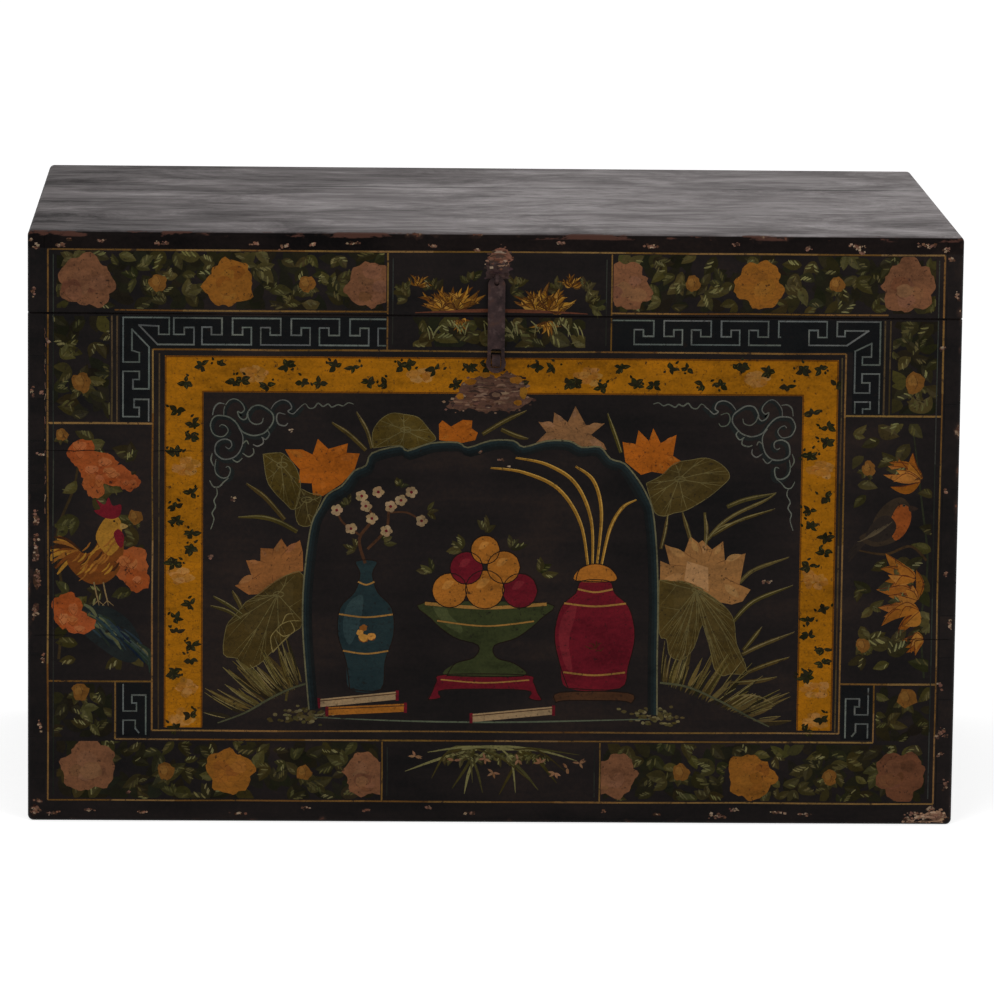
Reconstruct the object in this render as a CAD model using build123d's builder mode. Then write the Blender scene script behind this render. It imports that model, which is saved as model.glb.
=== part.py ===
from build123d import *
import os

# A lacquered wooden chest: a finger-jointed box, a shallow box lid on two iron strap hinges,
# an iron hasp over a lock staple at the front, and an iron bail handle on each end.
# Millimetres. The origin is the middle of the underside, the front faces -Y and +Z is up.

# Outside sizes
chest_width = 900.0
chest_depth = 560.0
box_height = 498.0
lid_height = 80.0

# Board thicknesses
wall_board = 16.0
lid_top_board = 17.0
bottom_board = 14.0

# The bottom lies flush with the feet of the walls, with a tongue in a groove round them
bottom_tongue = 7.0
groove_depth = 6.0
board_play = 0.3

# Corner fingers, counted from the lower edge of the box and of the lid
box_fingers = 12
lid_fingers = 2

# Widths of the glued-up boards: the middle board of each set takes what is left
front_lower_board_width = 184.0
front_upper_board_width = 133.5
back_lower_board_width = 262.0
side_lower_board_width = 228.0
lid_front_plank_width = 195.0
lid_rear_plank_width = 180.0
bottom_front_board_width = 182.0
bottom_rear_board_width = 176.0

# Worn edges
edge_radius = 5.5
seam_chamfer = 1.0

# Hasp strap
strap_width = 16.5
strap_thickness = 2.0
strap_end_radius = 9.5
strap_top_margin = 6.6
strap_bottom_margin = 5.2
strap_hole_play = 0.5
slot_width = 10.0
slot_height = 18.0
slot_corner = 2.0
slot_rise = 1.5

# Split pins: a flat strip bent into an eye, with both legs driven through the wall and clenched
hasp_eye_rise = 37.0
hasp_eye_inner = 3.6
hasp_eye_strip = 1.8
hasp_eye_width = 3.0
hasp_eye_standoff = 0.5
hasp_eye_leg = 14.0
lock_eye_drop = 41.5
lock_eye_inner = 4.2
lock_eye_strip = 1.7
lock_eye_width = 8.0
lock_eye_standoff = 0.9
lock_eye_leg = 15.0
pin_hole_play = 0.05

# Strap hinges
hinge_spacing = 540.0
hinge_width = 46.0
leaf_thickness = 2.0
upper_leaf_length = 50.0
lower_leaf_length = 72.0
leaf_shoulder = 20.0
leaf_tip_radius = 9.0
hinge_pin_radius = 2.5
hinge_pin_play = 0.05
knuckle_standoff = 0.35
knuckle_gap = 0.2
knuckle_clearance = 0.65
leaf_end_gap = 0.3
pin_head_radius = 3.6
pin_head_length = 1.5

# Hinge nails
nail_radius = 1.5
nail_length = 13.0
nail_head_radius = 4.2
nail_head_height = 1.6
nail_head_taper = 50.0
nail_hole_play = 0.05
nail_row_inset = 13.0
nail_side_spacing = 28.0

# Bail handles
handle_height = 330.0
handle_eye_spacing = 100.0
handle_eye_width = 6.0
handle_eye_strip = 1.4
handle_eye_play = 0.2
handle_eye_standoff = 0.15
handle_eye_leg = 14.0
bail_radius = 2.75
bail_half_width = 60.0
bail_drop = 46.0
bail_stub = 6.0
bail_pivot_bend = 5.0
bail_corner_bend = 14.0

# Worked out from the sizes above
chest_height = box_height + lid_height
inner_width = chest_width - 2 * wall_board
inner_depth = chest_depth - 2 * wall_board
lid_rail_height = lid_height - lid_top_board
hasp_eye_height = box_height + hasp_eye_rise
hasp_eye_outer = hasp_eye_inner + hasp_eye_strip
hasp_eye_reach = hasp_eye_outer + hasp_eye_standoff
hasp_eye_mean = hasp_eye_inner + hasp_eye_strip / 2
lock_eye_height = box_height - lock_eye_drop
lock_eye_outer = lock_eye_inner + lock_eye_strip
lock_eye_reach = hasp_eye_reach + strap_thickness / 2 + lock_eye_standoff + lock_eye_inner
handle_eye_inner = bail_radius + handle_eye_play
handle_eye_reach = handle_eye_inner + handle_eye_strip + handle_eye_standoff
knuckle_bore = hinge_pin_radius + hinge_pin_play
knuckle_radius = knuckle_bore + leaf_thickness
hinge_axis_y = chest_depth / 2 + knuckle_radius + knuckle_standoff
knuckle_length = (hinge_width - 2 * knuckle_gap) / 3

os.makedirs("parts", exist_ok=True)


def write(builder, name):
    """Label one finished piece and write its STEP file."""
    builder.part.label = name
    export_step(builder.part, f"parts/{name}.step")


def cut_notches(corners, base, height, fingers, first):
    """Take every second finger's block out of a wall at its two corners."""
    finger = height / fingers
    places = [(x, y, base + (index + 0.5) * finger)
              for x, y in corners for index in range(first, fingers, 2)]
    with Locations(*places):
        Box(wall_board, wall_board, finger, mode=Mode.SUBTRACT)


def long_wall(sign, base, height, fingers, first):
    """A wall along X with its corner fingers, at the front (-1) or the back (+1)."""
    wall_y = sign * (chest_depth - wall_board) / 2
    corner_x = (chest_width - wall_board) / 2
    with Locations((0, wall_y, base + height / 2)):
        Box(chest_width, wall_board, height)
    cut_notches([(-corner_x, wall_y), (corner_x, wall_y)], base, height, fingers, first)


def short_wall(sign, base, height, fingers, first):
    """A wall along Y with its corner fingers, at the left (-1) or the right (+1)."""
    wall_x = sign * (chest_width - wall_board) / 2
    corner_y = (chest_depth - wall_board) / 2
    with Locations((wall_x, 0, base + height / 2)):
        Box(wall_board, chest_depth, height)
    cut_notches([(wall_x, -corner_y), (wall_x, corner_y)], base, height, fingers, first)


def cut_bottom_groove():
    """The groove that holds the tongue of the bottom boards."""
    with Locations((0, 0, bottom_board - bottom_tongue / 2)):
        Box(inner_width + 2 * groove_depth, inner_depth + 2 * groove_depth, bottom_tongue,
            mode=Mode.SUBTRACT)


def write_boards(panel, axis, levels, names):
    """Part a glued-up panel into its boards at the given levels along one axis."""
    for name, start, end in zip(names, levels, levels[1:]):
        size = [2 * chest_width, 2 * chest_width, 2 * chest_width]
        centre = [0.0, 0.0, 0.0]
        size[axis] = end - start
        centre[axis] = (start + end) / 2
        with BuildPart() as board:
            add(panel.part)
            with Locations(tuple(centre)):
                Box(*size, mode=Mode.INTERSECT)
        write(board, name)


def split_pin(place, reach, inner, strip, width, leg):
    """A split pin, drawn side on: the plane's X points out of the wall, and its Y up."""
    with BuildSketch(place) as profile:
        with Locations(((reach - wall_board - strip) / 2, 0)):
            Rectangle(reach + wall_board + strip, 2 * strip)
        with Locations((-wall_board - strip / 2, 0)):
            Rectangle(strip, 2 * leg)
        with Locations((reach, 0)):
            Circle(inner + strip)
            Circle(inner, mode=Mode.SUBTRACT)
    extrude(profile.sketch, amount=width / 2, both=True)


def cut_pin_hole(place, strip, width):
    """The hole through the wall for a split pin's two legs."""
    with BuildSketch(place) as hole:
        with Locations((-wall_board / 2, 0)):
            Rectangle(2 * wall_board, 2 * (strip + pin_hole_play))
    extrude(hole.sketch, amount=width / 2 + pin_hole_play, both=True, mode=Mode.SUBTRACT)


def nail_places(sign):
    """Where a leaf's three nails go: two beside the knuckle and one near the tip."""
    length = upper_leaf_length if sign > 0 else lower_leaf_length
    near = box_height + sign * nail_row_inset
    tip = box_height + sign * (length - leaf_tip_radius)
    row = []
    for hinge_x in (-hinge_spacing / 2, hinge_spacing / 2):
        row += [(hinge_x - nail_side_spacing / 2, near), (hinge_x + nail_side_spacing / 2, near)]
        row += [(hinge_x, tip)]
    return row


def back_plane(x, z, out=0.0):
    """A plane on the chest's back, its normal pointing out of the back."""
    return Plane(origin=(x, chest_depth / 2 + out, z), x_dir=(-1, 0, 0), z_dir=(0, 1, 0))


def cut_nail_holes(sign, start):
    """Nail holes from the given distance outside the back, as deep as the nails go."""
    for x, z in nail_places(sign):
        with BuildSketch(back_plane(x, z, start)) as hole:
            Circle(nail_radius + nail_hole_play)
        extrude(hole.sketch, amount=-nail_length, mode=Mode.SUBTRACT)


def nails(sign):
    """The nails of both upper (+1) or both lower (-1) leaves."""
    for x, z in nail_places(sign):
        with BuildSketch(back_plane(x, z, leaf_thickness)) as shank:
            Circle(nail_radius)
        extrude(shank.sketch, amount=-nail_length)
        with BuildSketch(back_plane(x, z, leaf_thickness)) as head:
            Circle(nail_head_radius)
        extrude(head.sketch, amount=nail_head_height, taper=nail_head_taper)


def knuckle(start, length):
    """A rolled knuckle round the hinge pin."""
    with BuildSketch(Plane.YZ.offset(start)) as roll:
        with Locations((hinge_axis_y, box_height)):
            Circle(knuckle_radius)
    extrude(roll.sketch, amount=length)


def hinge_leaf(hinge_x, sign, length, knuckle_places):
    """A strap leaf going up (+1) or down (-1) from the pin, with its rolled knuckles."""
    edge = knuckle_radius + knuckle_clearance
    half = hinge_width / 2
    leaf_plane = Plane(origin=(hinge_x, chest_depth / 2, box_height), x_dir=(1, 0, 0),
                       z_dir=(0, -1, 0))
    with BuildSketch(leaf_plane) as outline:
        with BuildLine():
            Polyline((-half, sign * edge), (half, sign * edge), (half, sign * leaf_shoulder),
                     (leaf_tip_radius, sign * (length - leaf_tip_radius)),
                     (-leaf_tip_radius, sign * (length - leaf_tip_radius)),
                     (-half, sign * leaf_shoulder), close=True)
        make_face()
        with Locations((0, sign * (length - leaf_tip_radius))):
            Circle(leaf_tip_radius)
        for start, width in knuckle_places:
            with Locations((start + width / 2, sign * (edge + leaf_end_gap) / 2)):
                Rectangle(width, edge - leaf_end_gap)
    extrude(outline.sketch, amount=-leaf_thickness)
    for start, width in knuckle_places:
        knuckle(hinge_x + start, width)
    with BuildSketch(Plane.YZ.offset(hinge_x - hinge_width)) as bore:
        with Locations((hinge_axis_y, box_height)):
            Circle(knuckle_bore)
    extrude(bore.sketch, amount=2 * hinge_width, mode=Mode.SUBTRACT)
    cut_nail_holes(sign, leaf_thickness)


# Outer forms of the box and the lid, which the boards are worked to
with BuildPart() as box_form:
    with BuildSketch():
        Rectangle(chest_width, chest_depth)
    extrude(amount=box_height)
    fillet(box_form.edges().filter_by(Axis.Z) + box_form.faces().sort_by(Axis.Z)[0].edges(),
           edge_radius)
    chamfer(box_form.faces().sort_by(Axis.Z)[-1].edges(), seam_chamfer)

with BuildPart() as lid_form:
    with BuildSketch(Plane.XY.offset(box_height)):
        Rectangle(chest_width, chest_depth)
    extrude(amount=lid_height)
    fillet(lid_form.edges().filter_by(Axis.Z) + lid_form.faces().sort_by(Axis.Z)[-1].edges(),
           edge_radius)
    chamfer(lid_form.faces().sort_by(Axis.Z)[0].edges(), seam_chamfer)

# Where the split pins go: X points out of the wall and Y up
hasp_eye_place = Plane(origin=(0, -chest_depth / 2, hasp_eye_height), x_dir=(0, -1, 0),
                       z_dir=(-1, 0, 0))
lock_eye_place = Plane(origin=(0, -chest_depth / 2, lock_eye_height), x_dir=(0, -1, 0),
                       z_dir=(-1, 0, 0))
handle_eye_places = {}
for hand, sign in (("left", -1), ("right", 1)):
    handle_eye_places[hand] = [
        Plane(origin=(sign * chest_width / 2, y, handle_height), x_dir=(sign, 0, 0),
              z_dir=(0, -sign, 0))
        for y in (-handle_eye_spacing / 2, handle_eye_spacing / 2)]

# Front wall of the box: three boards, with the lock staple's hole
with BuildPart() as front_wall:
    long_wall(-1, 0.0, box_height, box_fingers, 0)
    add(box_form.part, mode=Mode.INTERSECT)
    cut_bottom_groove()
    cut_pin_hole(lock_eye_place, lock_eye_strip, lock_eye_width)
write_boards(front_wall, 2,
             [0.0, front_lower_board_width, box_height - front_upper_board_width, box_height],
             ["front_lower_board", "front_middle_board", "front_upper_board"])

# Back wall of the box: two boards, with the lower leaves' nail holes
with BuildPart() as back_wall:
    long_wall(1, 0.0, box_height, box_fingers, 0)
    add(box_form.part, mode=Mode.INTERSECT)
    cut_bottom_groove()
    cut_nail_holes(-1, leaf_thickness)
write_boards(back_wall, 2, [0.0, back_lower_board_width, box_height],
             ["back_lower_board", "back_upper_board"])

# End walls of the box: two boards each, with the handle eyes' holes
for hand, sign in (("left", -1), ("right", 1)):
    with BuildPart() as end_wall:
        short_wall(sign, 0.0, box_height, box_fingers, 1)
        add(box_form.part, mode=Mode.INTERSECT)
        cut_bottom_groove()
        for place in handle_eye_places[hand]:
            cut_pin_hole(place, handle_eye_strip, handle_eye_width)
    write_boards(end_wall, 2, [0.0, side_lower_board_width, box_height],
                 [f"{hand}_lower_board", f"{hand}_upper_board"])

# Bottom: three boards between the walls, with a tongue in the groove
with BuildPart() as bottom_panel:
    with Locations((0, 0, bottom_board / 2)):
        Box(inner_width - 2 * board_play, inner_depth - 2 * board_play, bottom_board)
    with Locations((0, 0, bottom_board - bottom_tongue / 2)):
        Box(inner_width + 2 * (groove_depth - board_play),
            inner_depth + 2 * (groove_depth - board_play), bottom_tongue)
write_boards(bottom_panel, 1,
             [-chest_depth / 2, -inner_depth / 2 + bottom_front_board_width,
              inner_depth / 2 - bottom_rear_board_width, chest_depth / 2],
             ["bottom_front_board", "bottom_middle_board", "bottom_rear_board"])

# Lid rails
with BuildPart() as lid_front_rail:
    long_wall(-1, box_height, lid_rail_height, lid_fingers, 1)
    add(lid_form.part, mode=Mode.INTERSECT)
    cut_pin_hole(hasp_eye_place, hasp_eye_strip, hasp_eye_width)
write(lid_front_rail, "lid_front_rail")

with BuildPart() as lid_rear_rail:
    long_wall(1, box_height, lid_rail_height, lid_fingers, 1)
    add(lid_form.part, mode=Mode.INTERSECT)
    cut_nail_holes(1, leaf_thickness)
write(lid_rear_rail, "lid_rear_rail")

for hand, sign in (("left", -1), ("right", 1)):
    with BuildPart() as lid_end_rail:
        short_wall(sign, box_height, lid_rail_height, lid_fingers, 0)
        add(lid_form.part, mode=Mode.INTERSECT)
    write(lid_end_rail, f"lid_{hand}_rail")

# Lid top: three planks over the rails
with BuildPart() as lid_top:
    with Locations((0, 0, chest_height - lid_top_board / 2)):
        Box(chest_width, chest_depth, lid_top_board)
    add(lid_form.part, mode=Mode.INTERSECT)
write_boards(lid_top, 1,
             [-chest_depth / 2, -chest_depth / 2 + lid_front_plank_width,
              chest_depth / 2 - lid_rear_plank_width, chest_depth / 2],
             ["lid_front_plank", "lid_middle_plank", "lid_rear_plank"])

# Hasp eye in the lid and lock staple in the box
with BuildPart() as hasp_eye:
    split_pin(hasp_eye_place, hasp_eye_reach, hasp_eye_inner, hasp_eye_strip, hasp_eye_width,
              hasp_eye_leg)
write(hasp_eye, "hasp_eye")

with BuildPart() as lock_staple:
    split_pin(lock_eye_place, lock_eye_reach, lock_eye_inner, lock_eye_strip, lock_eye_width,
              lock_eye_leg)
write(lock_staple, "lock_staple")

# Hasp strap: it hangs from the lowest point of its eye, and its slot lets the staple through
strap_hole_height = hasp_eye_height - hasp_eye_mean
strap_hole_radius = Vector(hasp_eye_width / 2, hasp_eye_strip / 2).length + strap_hole_play
strap_top = strap_hole_height + strap_top_margin
slot_height_above_floor = lock_eye_height + slot_rise
strap_bottom = slot_height_above_floor - slot_height / 2 - strap_bottom_margin
strap_front_plane = Plane(
    origin=(0, -chest_depth / 2 - hasp_eye_reach + strap_thickness / 2, 0), x_dir=(1, 0, 0),
    z_dir=(0, -1, 0))
with BuildPart() as hasp_strap:
    with BuildSketch(strap_front_plane):
        with Locations((0, strap_top - strap_width / 2)):
            Circle(strap_width / 2)
        with Locations((0, strap_bottom + strap_end_radius)):
            Circle(strap_end_radius)
        shank_low = strap_bottom + strap_end_radius
        shank_high = strap_top - strap_width / 2
        with Locations((0, (shank_low + shank_high) / 2)):
            Rectangle(strap_width, shank_high - shank_low)
        with Locations((0, strap_hole_height)):
            Circle(strap_hole_radius, mode=Mode.SUBTRACT)
        with Locations((0, slot_height_above_floor)):
            RectangleRounded(slot_width, slot_height, slot_corner, mode=Mode.SUBTRACT)
    extrude(amount=strap_thickness)
write(hasp_strap, "hasp_strap")

# Strap hinges: the lower leaf has the outer knuckles and the upper leaf the middle one
outer_knuckles = [(-hinge_width / 2, knuckle_length),
                  (hinge_width / 2 - knuckle_length, knuckle_length)]
middle_knuckle = [(-knuckle_length / 2, knuckle_length)]
for hand, sign in (("left", -1), ("right", 1)):
    hinge_x = sign * hinge_spacing / 2
    with BuildPart() as lower_leaf:
        hinge_leaf(hinge_x, -1, lower_leaf_length, outer_knuckles)
    write(lower_leaf, f"{hand}_hinge_lower_leaf")

    with BuildPart() as upper_leaf:
        hinge_leaf(hinge_x, 1, upper_leaf_length, middle_knuckle)
    write(upper_leaf, f"{hand}_hinge_upper_leaf")

    with BuildPart() as hinge_pin:
        pin_half = hinge_width / 2 + knuckle_gap
        with BuildSketch(Plane.YZ.offset(hinge_x - pin_half)):
            with Locations((hinge_axis_y, box_height)):
                Circle(hinge_pin_radius)
        extrude(amount=2 * pin_half)
        for head_start in (hinge_x - pin_half - pin_head_length, hinge_x + pin_half):
            with BuildSketch(Plane.YZ.offset(head_start)):
                with Locations((hinge_axis_y, box_height)):
                    Circle(pin_head_radius)
            extrude(amount=pin_head_length)
    write(hinge_pin, f"{hand}_hinge_pin")

# Hinge nails, one group on the box and one on the lid
with BuildPart() as lower_hinge_nails:
    nails(-1)
write(lower_hinge_nails, "lower_hinge_nails")

with BuildPart() as upper_hinge_nails:
    nails(1)
write(upper_hinge_nails, "upper_hinge_nails")

# Bail handles, hanging in a pair of split pins on each end
for hand, sign in (("left", -1), ("right", 1)):
    with BuildPart() as handle_eyes:
        for place in handle_eye_places[hand]:
            split_pin(place, handle_eye_reach, handle_eye_inner, handle_eye_strip,
                      handle_eye_width, handle_eye_leg)
    write(handle_eyes, f"{hand}_handle_eyes")

    stub_end = handle_eye_spacing / 2 - bail_stub
    bail_plane = Plane(origin=(sign * (chest_width / 2 + handle_eye_reach), 0, handle_height),
                       x_dir=(0, 1, 0), z_dir=(1, 0, 0))
    with BuildPart() as bail:
        with BuildLine(bail_plane) as bail_path:
            FilletPolyline((stub_end, 0), (bail_half_width, 0), (bail_half_width, -bail_drop),
                           (-bail_half_width, -bail_drop), (-bail_half_width, 0), (-stub_end, 0),
                           radius=[bail_pivot_bend, bail_corner_bend, bail_corner_bend,
                                   bail_pivot_bend])
        with BuildSketch(Plane(origin=bail_path.wire() @ 0, z_dir=bail_path.wire() % 0)):
            Circle(bail_radius)
        sweep()
    write(bail, f"{hand}_handle")
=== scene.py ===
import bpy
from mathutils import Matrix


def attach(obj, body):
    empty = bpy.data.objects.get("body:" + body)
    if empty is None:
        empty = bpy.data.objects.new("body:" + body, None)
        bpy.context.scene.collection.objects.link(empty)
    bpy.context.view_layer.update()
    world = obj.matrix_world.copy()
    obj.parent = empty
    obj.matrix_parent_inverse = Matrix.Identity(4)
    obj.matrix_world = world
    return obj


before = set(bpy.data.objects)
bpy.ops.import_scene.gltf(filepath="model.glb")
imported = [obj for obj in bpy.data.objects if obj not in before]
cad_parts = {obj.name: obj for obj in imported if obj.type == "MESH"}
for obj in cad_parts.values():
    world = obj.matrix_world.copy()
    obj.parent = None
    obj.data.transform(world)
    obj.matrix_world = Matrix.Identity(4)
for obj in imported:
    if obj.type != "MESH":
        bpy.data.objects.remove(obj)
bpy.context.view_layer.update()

import bpy
import functools
import math
import random
from mathutils import Matrix, Vector

# Sizes in the paint dictionaries are millimetres on the chest's front: x to the right from
# the middle, z up from the floor. Colours are written as 0 to 255 screen values.

chest = {"halfWidth": 0.450, "halfDepth": 0.280, "top": 0.578, "seam": 0.498, "wall": 0.016, "edge": 0.0055,
         "finger": 0.0415, "rearJoint": 0.100, "frontJoint": -0.085}

cameraView = {"place": (-0.194254, -6.47218, 1.343113), "right": (0.99948812, -0.02992401, 0.01131598),
              "up": (-0.00629009, 0.16299774, 0.98660639), "lens": 235.18}


def screen(red, green, blue):
    channels = []
    for value in (red, green, blue):
        share = value / 255
        channels.append(share / 12.92 if share <= 0.04045 else ((share + 0.055) / 1.055) ** 2.4)
    return (*channels, 1.0)


# Camera
cameraData = bpy.data.cameras.new("camera")
cameraData.lens = cameraView["lens"]
cameraData.sensor_width = 36
cameraData.clip_end = 200
camera = bpy.data.objects.new("camera", cameraData)
bpy.context.scene.collection.objects.link(camera)
right, up = Vector(cameraView["right"]), Vector(cameraView["up"])
turn = Matrix((right, up, right.cross(up))).transposed().to_4x4()
camera.matrix_world = Matrix.Translation(cameraView["place"]) @ turn
bpy.context.scene.camera = camera
bpy.context.scene.view_settings.view_transform = "Standard"
print("camera placed")


# Node helpers
def addNode(tree, kind, inputs=None, **settings):
    node = tree.nodes.new(kind)
    for key, value in settings.items():
        setattr(node, key, value)
    for key, value in (inputs or {}).items():
        if isinstance(value, bpy.types.NodeSocket):
            tree.links.new(value, node.inputs[key])
        else:
            node.inputs[key].default_value = value
    return node


def maths(operation, tree, *values, clamp=False):
    node = addNode(tree, "ShaderNodeMath", dict(enumerate(values)), operation=operation)
    node.use_clamp = clamp
    return node.outputs[0]


times, plus, minus, larger, smaller, absolute, scaled = (
    functools.partial(maths, operation) for operation in (
        "MULTIPLY", "ADD", "SUBTRACT", "MAXIMUM", "MINIMUM", "ABSOLUTE", "MULTIPLY_ADD"))


def stretch(tree, coords, scale):
    node = addNode(tree, "ShaderNodeMapping", {"Vector": coords, "Scale": scale})
    return node.outputs[0]


def noiseOf(tree, coords, scale, detail=4.0, rough=0.55, distort=0.0):
    node = addNode(tree, "ShaderNodeTexNoise", {"Vector": coords, "Scale": scale, "Detail": detail,
                                                "Roughness": rough, "Distortion": distort})
    return node.outputs[0]


def ramp(tree, factor, stops):
    # colours of three numbers are screen values
    node = addNode(tree, "ShaderNodeValToRGB", {0: factor})
    while len(node.color_ramp.elements) < len(stops):
        node.color_ramp.elements.new(0.5)
    for element, (place, colour) in zip(node.color_ramp.elements, stops):
        element.position = place
        element.color = screen(*colour) if len(colour) == 3 else colour
    return node.outputs[0]


def blendColour(tree, factor, first, second, how="MIX"):
    node = addNode(tree, "ShaderNodeMix", {0: factor, 6: first, 7: second}, data_type="RGBA",
                   blend_type=how)
    return node.outputs[2]


def step(tree, value, edge, width):
    # 0 below the edge, 1 above it, over the given width
    return scaled(tree, value, 1 / width, 0.5 - edge / width, clamp=True)


def newMaterial(name):
    material = bpy.data.materials.new(name)
    material.use_nodes = True
    tree = material.node_tree
    tree.nodes.clear()
    shader = tree.nodes.new("ShaderNodeBsdfPrincipled")
    output = tree.nodes.new("ShaderNodeOutputMaterial")
    tree.links.new(shader.outputs[0], output.inputs[0])
    coords = tree.nodes.new("ShaderNodeTexCoord").outputs["Object"]
    return material, tree, shader, coords


def addBump(tree, shader, height, strength, distance):
    bump = addNode(tree, "ShaderNodeBump", {"Height": height, "Strength": strength,
                                            "Distance": distance})
    tree.links.new(bump.outputs[0], shader.inputs["Normal"])


# Lacquer: black and brown outside with dust and painted sheen on the top, chips along the edges, bare wood
# inside
lacquer = {"dark": (11, 9, 9), "mid": (24, 19, 18), "brown": (40, 30, 25), "hairline": (5, 4, 4),
           "dustLight": (164, 157, 157), "dustMid": (108, 102, 102), "dustDark": (46, 42, 42),
           "chipCream": (140, 116, 94), "chipRed": (88, 56, 44), "chipWood": (62, 42, 32),
           "scuff": (70, 50, 42), "rubbedEdge": (76, 50, 42), "woodLight": (150, 112, 74),
           "woodDark": (92, 62, 38), "gloss": 1.13, "topGloss": 1.07, "skin": 0.0012, "skinFade": 0.0010,
           "lineWidth": 0.0004, "woodDepth": 0.0040, "seamRim": 0.0016, "fingersEnd": 0.004,
           "rearLine": (0.0022, -0.0020), "rubbedTop": (0.0072, -0.0012), "rubbedFront": (0.0036, -0.0016),
           "edgeWear": 26, "seamWear": 60, "edgeChips": (0.895, 0.02), "seamChips": (0.885, 0.02),
           "scuffs": (0.83, 0.10)}


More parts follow.
